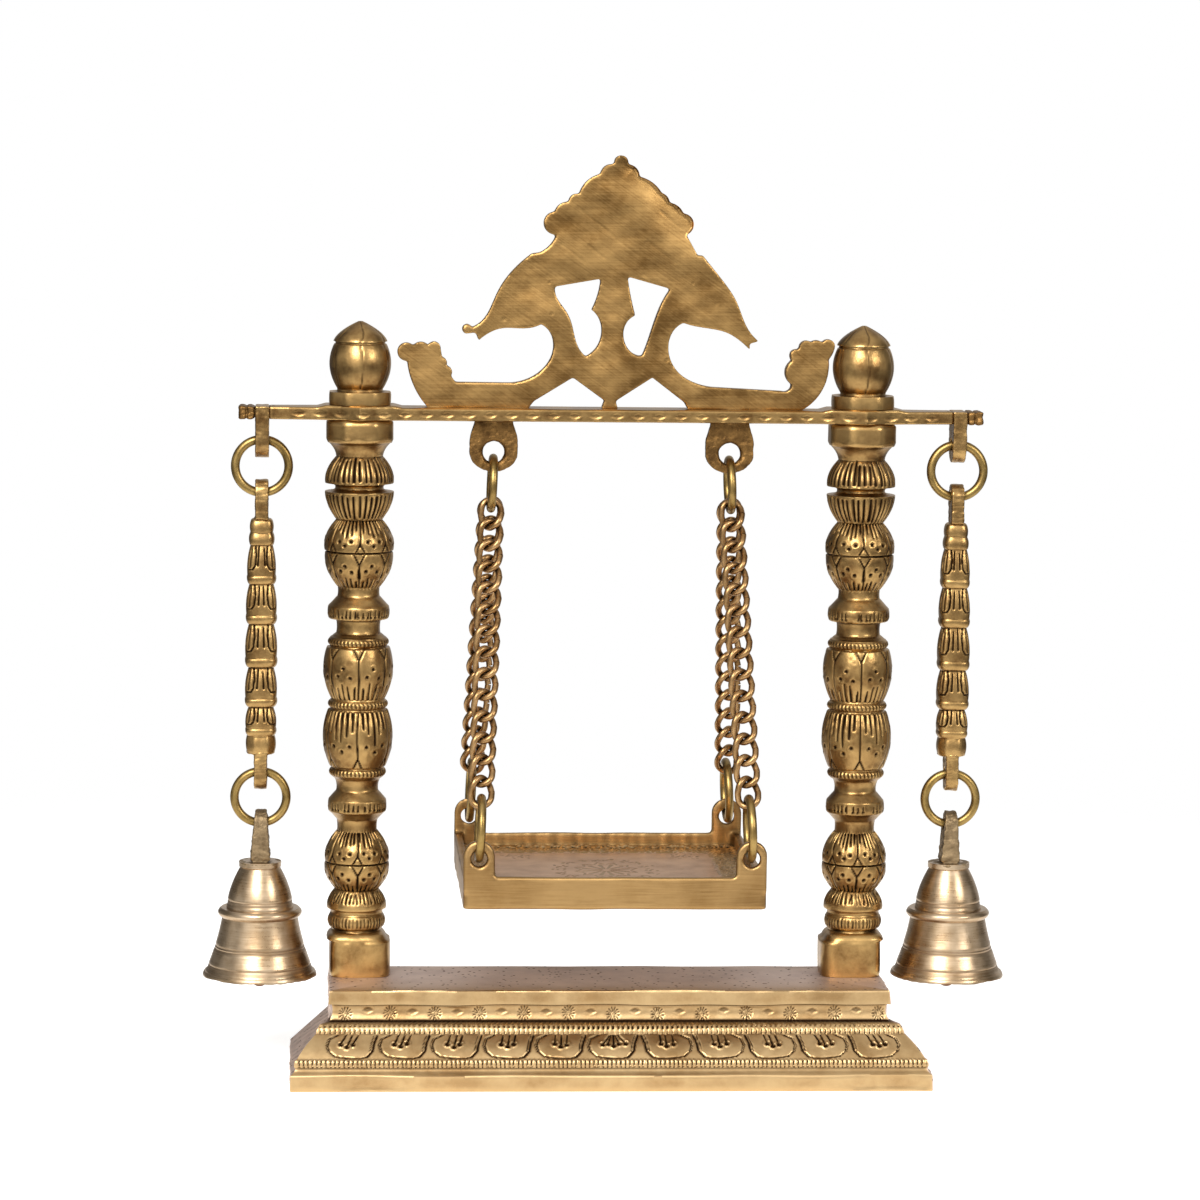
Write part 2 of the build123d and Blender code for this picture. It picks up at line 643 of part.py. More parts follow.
def make_seat():
    """Shallow tray with a sunk panel in its floor, hollow below, and a pierced lug by each corner."""
    body = extrude(soft_square(seat_width, seat_depth, seat_corner), seat_height)
    inner_width = seat_width - 2 * seat_wall
    inner_depth = seat_depth - 2 * seat_wall
    inside = soft_square(inner_width, inner_depth, seat_corner)
    body -= Pos(0, 0, seat_floor_top) * extrude(inside, seat_height)
    body -= Pos(0, 0, -skin) * extrude(inside, seat_floor_top - seat_floor + skin)
    panel = Rectangle(inner_width - 2 * panel_margin, inner_depth - 2 * panel_margin)
    body -= Pos(0, 0, seat_floor_top - panel_sink) * extrude(panel, seat_height)
    for _, side in SIDES:
        for _, end in ENDS:
            lug = eyed_plate(lug_width / 2, seat_floor_top, lug_height, lug_hole_height, lug_hole, seat_wall)
            body += Pos(side * lug_x, end * lug_y, 0) * Rot(0, 0, 90) * lug
    return Pos(0, 0, seat_z) * body


def make_upper_ring(side):
    """Wire ring between a strap and a bead bar."""
    return Pos(side * hanger_x, 0, upper_ring_z) * ring(upper_ring_mid, upper_ring_wire)


def make_bead_bar(side):
    """Row of turned buds between two pierced plates."""
    low_z = bead_top - upper_plate_height
    body = eyed_plate(plate_half_width, low_z, bead_top, bead_hole_z, plate_hole, plate_thickness)
    body += turned(tuple(reversed(bead_steps)), bead_low_z)
    body += eyed_plate(plate_half_width, bead_foot, bead_low_z, stem_hole_z, plate_hole, plate_thickness)
    return Pos(side * hanger_x, 0, 0) * body


def make_lower_ring(side):
    """Wire ring between a bead bar and a bell."""
    return Pos(side * hanger_x, 0, lower_ring_z) * ring(lower_ring_mid, lower_ring_wire)


def make_bell(side):
    """Hollow turned bell with a pierced crown and a pierced lug inside."""
    body = turned(bell_steps, bell_z)
    body -= turned(bell_hollow_steps, bell_z)
    crown_top = crown_hole_z + plate_half_width
    crown_low = bell_top - skin
    body += eyed_plate(plate_half_width, crown_low, crown_top, crown_hole_z, plate_hole, plate_thickness)
    lug_low = bell_lug_z - bell_lug_hole / 2 - bell_lug_rim
    body += eyed_plate(
        bell_lug_width / 2, lug_low, hollow_top + skin, bell_lug_z, bell_lug_hole, bell_lug_thickness
    )
    return Pos(side * hanger_x, 0, 0) * body


def make_clapper(side):
    """Turned clapper on a rod, with a wire ring at its head."""
    tip = bell_z - clapper_show
    body = turned(clapper_steps, tip)
    ball_top = tip + sum(step[0] for step in clapper_steps)
    rod_top = clapper_ring_z - clapper_ring_mid
    body += upright(clapper_rod_radius, ball_top - skin, rod_top)
    body += Pos(0, 0, clapper_ring_z) * ring(clapper_ring_mid, clapper_ring_wire)
    return Pos(side * hanger_x, 0, 0) * body


def make_parts():
    """All pieces by name."""
    link = make_link()
    pieces = {
        "base": make_base(),
        "base_screws": make_screws(),
        "base_washers": make_washers(),
        "crossbar": make_crossbar(),
        "top_studs": make_studs(),
        "crest": make_crest(),
        "seat": make_seat(),
    }
    for name, side in SIDES:
        pieces["pillar_" + name] = make_pillar(side)
        pieces["finial_" + name] = make_finial(side)
        pieces["end_knob_" + name] = make_knob(side)
        pieces["bell_strap_" + name] = make_strap(side)
        pieces["swing_eye_" + name] = make_eye(side)
        pieces["swing_ring_" + name] = make_swing_ring(side)
        pieces["upper_ring_" + name] = make_upper_ring(side)
        pieces["bead_bar_" + name] = make_bead_bar(side)
        pieces["lower_ring_" + name] = make_lower_ring(side)
        pieces["bell_" + name] = make_bell(side)
        pieces["clapper_" + name] = make_clapper(side)
        for end_name, end in ENDS:
            pieces["chain_" + end_name + "_" + name] = make_chain(side, end, link)
            pieces["seat_ring_" + end_name + "_" + name] = make_seat_ring(side, end)
    return pieces


os.makedirs("parts", exist_ok=True)
parts = make_parts()
for node, solid in parts.items():
    export_step(solid, "parts/" + node + ".step")
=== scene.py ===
import logging
import math
from contextlib import contextmanager
from dataclasses import dataclass
from enum import Enum
from typing import Callable, Iterator, Sequence

import bpy
import numpy as np
from mathutils import Matrix, Vector


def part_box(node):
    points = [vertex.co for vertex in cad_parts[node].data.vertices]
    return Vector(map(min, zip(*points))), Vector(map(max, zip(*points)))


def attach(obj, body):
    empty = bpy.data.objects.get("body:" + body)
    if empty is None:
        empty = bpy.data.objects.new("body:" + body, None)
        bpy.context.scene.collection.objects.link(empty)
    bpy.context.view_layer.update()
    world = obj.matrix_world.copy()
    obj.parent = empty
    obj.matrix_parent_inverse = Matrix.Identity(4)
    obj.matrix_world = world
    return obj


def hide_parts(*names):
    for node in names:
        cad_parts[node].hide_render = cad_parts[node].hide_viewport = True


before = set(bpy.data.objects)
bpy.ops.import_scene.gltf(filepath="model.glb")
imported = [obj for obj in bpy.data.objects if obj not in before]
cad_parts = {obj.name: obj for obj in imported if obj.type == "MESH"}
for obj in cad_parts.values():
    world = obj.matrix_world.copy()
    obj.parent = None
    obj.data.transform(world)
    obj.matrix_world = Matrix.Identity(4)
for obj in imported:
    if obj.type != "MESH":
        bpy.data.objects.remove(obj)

Piece = bpy.types.Object
Tree = bpy.types.NodeTree
Socket = bpy.types.NodeSocket
Array = np.ndarray
Draw = np.random.Generator
Bend = Callable[[Array, Array], Array]
Corner = Sequence[float | None]  # None leaves a side open
Line = Sequence[tuple[float, float]]

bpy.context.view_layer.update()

MM = 0.001
LOG = logging.getLogger("jhoola")
SIDES = {"left": -1, "right": 1}
MERGE = 1e-7  # metres: points of a closed seam lie on each other
CAD_MERGE = 1e-6  # metres: the loose triangles of a CAD node meet this closely
WIDE_LOOK = 4  # how many times more rounds the second look round a point takes than the first
PULL = 0.6  # how far one round of averaging draws a point to its neighbours
RIM_RISE = 0.3  # height of the rim round a punch mark, as a share of its depth
RIM_REACH = 1.35  # where the rim stands, in radii of the mark
RIM_WIDTH = 0.3
OPEN = (None, None, None)  # corner of a box that is open on three sides
TINY = 1e-6  # keeps a slope or stroke of no length from being divided by 0


class Chase(Enum):
    """How a turned step of a pillar, finial or bead bar is chased."""

    PLAIN = "plain"
    FLUTED = "fluted"
    FLARED = "flared"
    FINE = "finely fluted"
    NOTCHED = "notched"
    BEADED = "beaded"
    PETAL_UP = "petals that open upwards"
    PETAL_DOWN = "petals that hang down"
    BULB_UP = "strokes that rise from the foot"
    BULB_DOWN = "strokes that hang from the head"
    SEAM = "open joint"
    BUD = "slit bud"
    LOTUS = "lotus bud"


class Form(Enum):
    """Plan of a turned or filed step."""

    ROUND = "round"
    SQUARE = "square with round corners"
    CUSHION = "square with bowed sides"
    OCTAGON = "eight facets"


def raised(far: Array, depth: float) -> Array:
    """Rim round a punch mark, by the distance from its middle in radii."""
    return RIM_RISE * depth * np.exp(-(((far - RIM_REACH) / RIM_WIDTH) ** 2))


@dataclass(frozen=True)
class Stroke:
    """A chisel or punch line in the unrolled surface, in millimetres."""

    x0: float
    y0: float
    x1: float
    y1: float
    start: float  # half width at both ends
    end: float
    depth: float

    def box(self) -> tuple[float, float, float, float]:
        """Middle and half size of the area that the mark touches.

        Returns:
            Middle along x and y, and half the size along x and y.
        """
        wide = max(self.start, self.end)
        mid, rise = (self.x0 + self.x1) / 2, (self.y0 + self.y1) / 2
        return mid, rise, abs(self.x1 - self.x0) / 2 + wide, abs(self.y1 - self.y0) / 2 + wide

    def press(self, over: Array, up: Array) -> tuple[Array, Array]:
        """Depth and rim, by the distance from the middle along x and the height.

        Args:
            over: distances from the mark's middle along x.
            up: heights.

        Returns:
            Depth and rim at each point.
        """
        dx, dy = self.x1 - self.x0, self.y1 - self.y0
        along = ((over + dx / 2) * dx + (up - self.y0) * dy) / max(dx * dx + dy * dy, TINY)
        along = np.clip(along, 0, 1)
        far = np.hypot(over + dx / 2 - along * dx, up - self.y0 - along * dy)
        far = far / (self.start + (self.end - self.start) * along)
        return self.depth * np.clip(1 - far**2, 0, 1), np.zeros_like(far)


@dataclass(frozen=True)
class Dot:
    """A round punch mark with a raised rim, in millimetres."""

    x: float
    y: float
    radius: float
    depth: float

    def box(self) -> tuple[float, float, float, float]:
        """Middle and half size of the area that the mark and its rim touch."""
        return self.x, self.y, 2.2 * self.radius, 2.2 * self.radius

    def press(self, over: Array, up: Array) -> tuple[Array, Array]:
        """Depth and rim, by the distance from the middle along x and the height."""
        far = np.hypot(over, up - self.y) / self.radius
        return self.depth * np.clip(1 - far**2, 0, 1), raised(far, self.depth)


@dataclass(frozen=True)
class Lozenge:
    """An eye-shaped punch mark with a raised rim below it, in millimetres."""

    x: float
    y: float
    half_width: float
    half_height: float
    depth: float

    def box(self) -> tuple[float, float, float, float]:
        """Middle and half size of the area that the mark and its rim touch."""
        return self.x, self.y, 2 * self.half_width, 2.6 * self.half_height

    def press(self, over: Array, up: Array) -> tuple[Array, Array]:
        """Depth and rim, by the distance from the middle along x and the height.

        Args:
            over: distances from the mark's middle along x.
            up: heights.

        Returns:
            Depth and rim at each point.
        """
        far = (np.abs(over) / self.half_width) ** 1.3 + (np.abs(up - self.y) / self.half_height) ** 1.3
        below = (up < self.y) & (np.abs(over) < self.half_width)
        return self.depth * np.clip(1.6 * (1 - far), 0, 1), raised(far, self.depth) * below


Mark = Stroke | Dot | Lozenge


@dataclass(frozen=True)
class Step:
    """One turned step: its height, its radius at foot, middle and head, and its finish, in mm."""

    height: float
    foot: float
    middle: float
    head: float
    chase: Chase = Chase.PLAIN
    form: Form = Form.ROUND

    def radius(self, t: float) -> float:
        """Radius at a share of the height, on a curve through foot, middle and head."""
        sides = 2 * (t - 0.5) * (t - 1) * self.foot, 2 * t * (t - 0.5) * self.head
        return sides[0] + 4 * t * (1 - t) * self.middle + sides[1]


@dataclass(frozen=True)
class PetalPlan:
    """How the petals of one kind are laid out: their number, and sizes in mm or shares of the step."""

    count: int
    reach: float  # share of the height that the strokes take
    strokes: int
    width: float  # of a stroke at its root
    depth: float  # of a stroke
    wedge_width: float
    wedge_height: float
    teardrop: float  # length of the black drop in the slit, or 0
    dots: tuple[tuple[float, float], ...]  # place in the petal: share of its width, share of the height


@dataclass(frozen=True)
class FlutePlan:
    """How the flutes of one kind are cut: sizes in mm, and where they start and end as shares."""

    pitch: float
    low: float
    high: float
    width: float
    depth: float
    jitter: float
    lean: float
    missed: float = 0.0  # share of the flutes that were left out
    dot: float = 0.0  # radius of a dot at the foot of each flute, or 0


FLUTE_PLANS = {
    Chase.FLUTED: FlutePlan(1.85, 0.1, 0.97, 0.66, 0.66, 0.28, 0.15),
    Chase.FLARED: FlutePlan(1.3, 0.4, 0.97, 0.42, 0.46, 0.3, 0.5),
    Chase.FINE: FlutePlan(1.3, 0.16, 0.86, 0.42, 0.4, 0.16, 0.12),
    Chase.NOTCHED: FlutePlan(1.5, 0.24, 0.8, 0.34, 0.55, 0.34, 0.12, missed=0.12, dot=0.54),
}

PETAL_PLANS = {
    Chase.PETAL_DOWN: PetalPlan(
        7, 0.47, 5, 0.6, 0.62, 2.9, 2.7, 0.0, ((-0.22, 0.36), (0.2, 0.34), (-0.02, 0.2))
    ),
    Chase.PETAL_UP: PetalPlan(
        7, 0.3, 4, 0.56, 0.6, 3.9, 3.5, 3.6, ((-0.04, 0.66), (-0.24, 0.49), (0.19, 0.47))
    ),
    Chase.BULB_DOWN: PetalPlan(
        6, 0.52, 5, 0.66, 0.72, 3.8, 3.2, 0.0, ((-0.24, 0.4), (0.02, 0.3), (0.26, 0.41))
    ),
    Chase.BULB_UP: PetalPlan(
        7, 0.36, 4, 0.46, 0.6, 3.9, 3.4, 0.0, ((-0.02, 0.62), (-0.23, 0.47), (0.21, 0.44))
    ),
}


def clear() -> None:
    """Deselects everything, so that the next operator acts on its own piece only."""
    if bpy.context.object and bpy.context.object.mode != "OBJECT":
        bpy.ops.object.mode_set(mode="OBJECT")
    bpy.ops.object.select_all(action="DESELECT")


def pick(*pieces: Piece) -> None:
    """Selects only these pieces and makes the first one active.

    Args:
        pieces: pieces to select.
    """
    clear()
    for piece in pieces:
        piece.select_set(True)
    bpy.context.view_layer.objects.active = pieces[0]


@contextmanager
def editing(piece: Piece) -> Iterator[None]:
    """Edits one piece with all of it selected.

    Args:
        piece: piece to edit.
    """
    pick(piece)
    bpy.ops.object.mode_set(mode="EDIT")
    bpy.ops.mesh.select_all(action="SELECT")
    yield
    bpy.ops.object.mode_set(mode="OBJECT")


def points_of(piece: Piece) -> Array:
    """Vertex places of a piece, in metres.

    Args:
        piece: piece to read.

    Returns:
        One row for each point.
    """
    flat = np.zeros(len(piece.data.vertices) * 3)
    piece.data.vertices.foreach_get("co", flat)
    return flat.reshape(-1, 3)


def normals_of(piece: Piece) -> Array:
    """Vertex normals of a piece.

    Args:
        piece: piece to read.

    Returns:
        One row for each point.
    """
    flat = np.zeros(len(piece.data.vertices) * 3)
    piece.data.vertex_normals.foreach_get("vector", flat)
    return flat.reshape(-1, 3)


def add_layer(piece: Piece, name: str, values: Array) -> None:
    """Keeps a value with each point of a piece."""
    layer = piece.data.attributes.new(name, "FLOAT", "POINT")
    layer.data.foreach_set("value", values.astype(np.float32))


def layer_of(piece: Piece, name: str) -> Array:
    """Values kept with the points of a piece, or zeros if it has none by that name.

    Args:
        piece: piece to read.
        name: name of the layer.

    Returns:
        One value for each point.
    """
    values = np.zeros(len(piece.data.vertices))
    if name in piece.data.attributes:
        piece.data.attributes[name].data.foreach_get("value", values)
    return values


def put(name: str, data: bpy.types.ID) -> Piece:
    """Adds an object with this data to the scene.

    Args:
        name: name of the object.
        data: mesh, lamp or camera.

    Returns:
        The object.
    """
    made = bpy.data.objects.new(name, data)
    bpy.context.scene.collection.objects.link(made)
    return made


def widen(values: Array, columns: int) -> Array:
    """The value of each row in every column of a grid."""
    return np.repeat(values[:, None], columns, 1)


def ease(share: Array) -> Array:
    """Share of a way from 0 to 1 that starts and ends softly."""
    return share * share * (3 - 2 * share)


def place_points(piece: Piece, points: Array) -> None:
    """Moves the vertices of a piece."""
    piece.data.vertices.foreach_set("co", points.reshape(-1))
    piece.data.update()


def close_up(piece: Piece) -> None:
    """Merges the seams of a bent grid, closes each open loop by itself and points its faces outwards.

    Args:
        piece: bent grid.
    """
    with editing(piece):
        bpy.ops.mesh.remove_doubles(threshold=MERGE)
        bpy.ops.mesh.fill_holes(sides=0)
        bpy.ops.mesh.select_all(action="SELECT")
        bpy.ops.mesh.normals_make_consistent(inside=False)


def bent_grid(
    name: str, across: int, along: int, bend: Bend, layers: dict[str, Array] | None = None
) -> Piece:
    """Adds a grid and bends it into a closed skin.

    Args:
        name: name of the piece.
        across: faces across the grid.
        along: faces along the grid.
        bend: gives the points in millimetres for the column and row numbers.
        layers: values to keep with the points, by row and column.

    Returns:
        The closed piece.
    """
    clear()
    bpy.ops.mesh.primitive_grid_add(x_subdivisions=across, y_subdivisions=along, size=2.0)
    piece = bpy.context.object
    piece.name = piece.data.name = name
    flat = points_of(piece)
    columns = np.rint((flat[:, 0] + 1) / 2 * across).astype(int)
    rows = np.rint((flat[:, 1] + 1) / 2 * along).astype(int)
    place_points(piece, bend(columns, rows) * MM)
    for key, values in (layers or {}).items():
        add_layer(piece, key, values[rows, columns])
    close_up(piece)
    return piece


def keep_box(piece: Piece, low: Corner, high: Corner) -> None:
    """Cuts away all of a piece that lies outside a box, given in millimetres, and closes the cuts.

    Args:
        piece: piece to cut.
        low: lowest corner.
        high: highest corner.
    """
    for axis in range(3):
        for corner, away in ((low, -1), (high, 1)):
            if corner[axis] is None:
                continue
            way = Vector(np.eye(3)[axis])
            with editing(piece):
                bpy.ops.mesh.bisect(
                    plane_co=way * (corner[axis] * MM), plane_no=way * away, use_fill=True, clear_outer=True
                )


def join(name: str, pieces: Sequence[Piece]) -> Piece:
    """Joins pieces into the first one.

    Args:
        name: name of the joined piece.
        pieces: pieces to join.

    Returns:
        The joined piece.
    """
    pick(*pieces)
    bpy.ops.object.join()
    piece = bpy.context.object
    piece.name = piece.data.name = name
    return piece


def smooth(piece: Piece, degrees: float = 42.0) -> None:
    """Shades a piece smooth, apart from its sharp edges."""
    pick(piece)
    bpy.ops.object.shade_smooth_by_angle(angle=math.radians(degrees))


def apply_modifier(piece: Piece, kind: str, **settings: object) -> None:
    """Adds a modifier with its settings and applies it.

    Args:
        piece: piece to change.
        kind: type of the modifier.
        settings: its properties.
    """
    pick(piece)
    modifier = piece.modifiers.new(kind.lower(), kind)
    for key, value in settings.items():
        setattr(modifier, key, value)
    bpy.ops.object.modifier_apply(modifier=modifier.name)


def carve(x: Array, y: Array, marks: Sequence[Mark], period: float = 0.0) -> Array:
    """Depth of a set of marks in an unrolled surface.

    Args:
        x: places along the surface, in millimetres.
        y: places up the surface, in millimetres.
        marks: strokes, dots and lozenges.
        period: length after which x comes round again, or 0.

    Returns:
        Depth below the surface at each point, in millimetres; below 0 where a rim stands up.
    """
    cut = np.zeros_like(x)
    rim = np.zeros_like(x)
    for mark in marks:
        mid, rise, wide, tall = mark.box()
        over = x - mid
        if period:
            over = (over + period / 2) % period - period / 2
        near = (np.abs(over) <= wide) & (np.abs(y - rise) <= tall)
        deep, high = mark.press(over[near], y[near])
        cut[near] = np.maximum(cut[near], deep)
        rim[near] = np.maximum(rim[near], high)
    return cut - rim * (cut <= 0)


def stroke_line(line: Line, wide: float, depth: float) -> list[Mark]:
    """Strokes of one width along a line of points, in millimetres."""
    return [Stroke(*start, *end, wide, wide, depth) for start, end in zip(line, line[1:])]


def ripple(x: Array, y: Array, scale: float, seed: int) -> Array:
    """Soft uneven surface of about -1 to 1, made of a few crossed waves of one size in mm.

    Args:
        x: places along the surface, in millimetres.
        y: places across it.
        scale: size of the waves.
        seed: start of the random numbers.

    Returns:
        Height at each point.
    """
    draw = np.random.default_rng(seed)
    total = np.zeros_like(x)
    for _ in range(5):
        turn, shift = draw.uniform(0, math.pi), draw.uniform(0, 2 * math.pi)
        wave = scale * draw.uniform(0.7, 1.5)
        total += np.sin((x * math.cos(turn) + y * math.sin(turn)) * 2 * math.pi / wave + shift)
    return total / 3


def lumpy(points: Array, scale: float, seed: int) -> Array:
    """Uneven casting of about -1 to 1 in space, made of crossed waves of one size in mm.

    Args:
        points: places in millimetres.
        scale: size of the waves.
        seed: start of the random numbers.

    Returns:
        Height at each point.
    """
    draw = np.random.default_rng(seed)
    total = np.zeros(len(points))
    for _ in range(14):
        way = draw.normal(0, 1, 3)
        way = way / np.linalg.norm(way) / (scale * draw.uniform(0.7, 1.6))
        total += np.sin(points @ way * 2 * math.pi + draw.uniform(0, 2 * math.pi))
    return total / 4


def weather(
    piece: Piece, reach_mm: float = 0.3, turns: int = 7, broad: float = 0.06, polish: float = 1.0
) -> None:
    """Stores how far each point lies below or above the surface around it.

    The attribute "hollow" is 1 in deep recesses, where tarnish stays, and "worn" is 1 on the
    ridges that polishing reaches. A layer "carved_and_shaded", if the piece has one, counts as recess
    too; on the crest it also holds painted shade on the side walls, so "hollow" carries that shade there.

    Args:
        piece: piece with an even mesh.
        reach_mm: depth that counts as a full recess.
        turns: how far the surface around a point reaches, in rounds of averaging.
        broad: share of a wider look round, for the corners under rings.
        polish: how bright the ridges are rubbed.
    """
    mesh = piece.data
    count = len(mesh.vertices)
    edges = np.zeros(len(mesh.edges) * 2, int)
    mesh.edges.foreach_get("vertices", edges)
    edges = edges.reshape(-1, 2)
    start, normals = points_of(piece), normals_of(piece)
    links = np.bincount(edges.reshape(-1), minlength=count).clip(1)
    near = start.copy()
    relief = np.zeros(count)
    far_turns = turns * WIDE_LOOK
    for turn in range(far_turns):
        total = np.zeros((count, 3))
        for axis in range(3):
            total[:, axis] += np.bincount(edges[:, 0], near[edges[:, 1], axis], count)
            total[:, axis] += np.bincount(edges[:, 1], near[edges[:, 0], axis], count)
        near = near * (1 - PULL) + total / links[:, None] * PULL
        if turn in (turns - 1, far_turns - 1):
            share = 1.0 if turn == turns - 1 else broad
            relief += ((near - start) * normals).sum(1) / (reach_mm * MM) * share
    for key, values in (("hollow", relief + layer_of(piece, "carved_and_shaded")), ("worn", -relief * polish)):
        add_layer(piece, key, np.clip(values, 0, 1))


# ---- finishes


def linear(code: str) -> tuple[float, float, float, float]:
    """Linear colour of an sRGB hex code.

    Args:
        code: colour as # and six digits.

    Returns:
        Red, green, blue and 1.
    """
    values = [int(code[i : i + 2], 16) / 255 for i in (1, 3, 5)]
    flat = [v / 12.92 if v <= 0.04045 else ((v + 0.055) / 1.055) ** 2.4 for v in values]
    return (*flat, 1.0)


def add(
    tree: Tree, kind: str, links: dict[str | int, object] | None = None, **settings: object
) -> bpy.types.Node:
    """Adds a node.

    Args:
        tree: node tree that takes it.
        kind: type of the shader node.
        links: socket name or number to the value or output socket that feeds it.
        settings: properties of the node.

    Returns:
        The node.
    """
    node = tree.nodes.new("ShaderNode" + kind)
    for key, value in settings.items():
        setattr(node, key, value)
    for key, value in (links or {}).items():
        if isinstance(value, Socket):
            tree.links.new(value, node.inputs[key])
        else:
            node.inputs[key].default_value = value
    return node


def empty_tree(owner: bpy.types.ID) -> Tree:
    """Node tree of a new material or world, cleared of the nodes it starts with.

    Args:
        owner: material or world.

    Returns:
        Its node tree.
    """
    owner.use_nodes = True
    owner.node_tree.nodes.clear()
    return owner.node_tree


@dataclass(frozen=True)
class BrassFinish:
    """Brass as it was cast, filed, chased or drawn, with tarnish left in its recesses.

    Lengths are in millimetres. The metal is an alloy of copper and zinc, so it is fully metallic
    with a warm tint, and its tarnish is darker, browner and rougher than the polished metal. The
    tarnish colour also paints shade: where wires lie close, and on the crest's side walls.
    """

    name: str
    bright: str
    body: str
    # colour of the tarnish, which also paints shade where wires lie close and on the crest's side walls
    tarnish: str
    roughness: float = 0.26
    cloud: float = 14.0  # patches of slightly different tone
    lump: float = 2.6  # unevenness left by the casting
    lump_depth: float = 0.05
    grain: float = 0.35  # fine grit
    grain_depth: float = 0.012
    pits: float = 0.0  # share of the surface that is pitted
    pit: float = 1.6  # spacing of the pits
    brushed: tuple[float, float, float] = (1.0, 1.0, 1.0)  # how much each axis is stretched
    brush: float = 0.0  # strength of the brush lines
    hair: float = 0.3  # width of one brush line; real grit is finer, but would not show
    crossed: float = 0.0  # degrees between the brush lines and the scratches across them, or 0 for none
    shadow: float = 0.0  # painted shade where two wires lie close: ambient occlusion over this reach, in mm, darkens the colour
    warm: str = ""  # colour near filed edges, by the layer "filed"
    cloud_low: float = 0.36  # noise at which a patch is all body
    cloud_high: float = 0.64  # and at which it is all bright
    rub: float = 0.55  # how far a worn ridge goes towards the bright colour
    grit_gloss: float = 0.14  # roughness that the grit, the tarnish and the brush lines add
    dirt_gloss: float = 0.3
    line_gloss: float = 0.16
    line_depth: float = 0.02
    pit_depth: float = 0.12
    slot: str = ""  # material slot, if it isn't called as the finish is

    def material(self) -> bpy.types.Material:
        """Builds the node tree of the finish.

        Returns:
            The material.
        """
        made = bpy.data.materials.new(self.name)
        tree = empty_tree(made)
        place = add(tree, "TexCoord").outputs["Object"]
        noise = {"Vector": place, "Scale": 1 / (self.cloud * MM), "Detail": 6.0, "Roughness": 0.62}
        cloud = add(tree, "TexNoise", noise).outputs["Fac"]
        tone = add(tree, "MapRange", {0: cloud, 1: self.cloud_low, 2: self.cloud_high}).outputs[0]
        grain = add(tree, "TexNoise", {"Vector": place, "Scale": 1 / (self.grain * MM), "Detail": 2.0})
        grain = grain.outputs["Fac"]
        lines = self.brush_lines(tree, place)
        if self.brush:
            streak = {0: lines, 1: self.brush, 2: -0.5 * self.brush}
            streak = add(tree, "Math", streak, operation="MULTIPLY_ADD").outputs[0]
            tone = add(tree, "Math", {0: tone, 1: streak}, operation="ADD", use_clamp=True).outputs[0]
        names = ("hollow", "worn", "filed") if self.warm else ("hollow", "worn")
        layers = {name: add(tree, "Attribute", attribute_name=name).outputs["Fac"] for name in names}
        tarnish_and_shade = self.tarnish_and_shade(tree, place, layers["hollow"], cloud)
        rub = add(tree, "Math", {0: layers["worn"], 1: self.rub}, operation="MULTIPLY").outputs[0]
        coats = [(tone, self.bright), (rub, self.bright), (tarnish_and_shade, self.tarnish)]
        if self.warm:
            coats.insert(1, (layers["filed"], self.warm))
        colour: Socket | tuple[float, ...] = linear(self.body)
        for share, over in coats:
            colour = add(tree, "Mix", {0: share, 6: colour, 7: linear(over)}, data_type="RGBA").outputs[2]
        rough: Socket | float = self.roughness - self.grit_gloss / 2
        for share, gain in ((grain, self.grit_gloss), (tarnish_and_shade, self.dirt_gloss), (lines, self.line_gloss)):
            rough = add(tree, "Math", {0: share, 1: gain, 2: rough}, operation="MULTIPLY_ADD").outputs[0]
        lumps = add(tree, "TexNoise", {"Vector": place, "Scale": 1 / (self.lump * MM), "Detail": 2.5})
        relief = [(self.lump_depth, lumps.outputs["Fac"]), (self.grain_depth, grain)]
        if self.brush:
            relief.append((self.line_depth * self.brush, lines))
        if self.pits:
            relief.append((-self.pit_depth, self.pit_field(tree, place)))
        normal: dict[str, Socket] = {}
        for depth, height in relief:
            bump = {"Strength": 1.0, "Distance": depth * MM, "Height": height, **normal}
            normal = {"Normal": add(tree, "Bump", bump).outputs[0]}
        metal = {"Base Color": colour, "Metallic": 1.0, "Roughness": rough, **normal}
        add(tree, "OutputMaterial", {"Surface": add(tree, "BsdfPrincipled", metal).outputs[0]})
        return made

    def brush_lines(self, tree: Tree, place: Socket) -> Socket:
        """Fine streaks along the direction of brushing, crossed by scratches at an angle.

        Args:
            tree: node tree.
            place: coordinates.

        Returns:
            Noise from 0 to 1.
        """
        size = [self.hair * MM * stretch for stretch in self.brushed]
        streaks = []
        for angle in (0.0, math.radians(self.crossed)) if self.crossed else (0.0,):
            spread = {"Vector": place, "Scale": size, "Rotation": (0.0, angle, 0.0)}
            spread = add(tree, "Mapping", spread, vector_type="TEXTURE").outputs[0]
            noise = add(tree, "TexNoise", {"Vector": spread, "Scale": 1.0, "Detail": 3.0})
            streaks.append(noise.outputs["Fac"])
        if len(streaks) == 1:
            return streaks[0]
        return add(tree, "Mix", {0: 0.5, 2: streaks[0], 3: streaks[1]}).outputs[0]

    def pit_field(self, tree: Tree, place: Socket) -> Socket:
        """1 inside the pits and 0 between them.

        Args:
            tree: node tree.
            place: coordinates.

        Returns:
            Depth of the pits as a share.
        """
        cells = add(tree, "TexVoronoi", {"Vector": place, "Scale": 1 / (self.pit * MM), "Randomness": 1.0})
        edge = {0: cells.outputs["Distance"], 1: 0.34 * self.pits, 2: 0.2 * self.pits}
        return add(tree, "MapRange", edge).outputs[0]

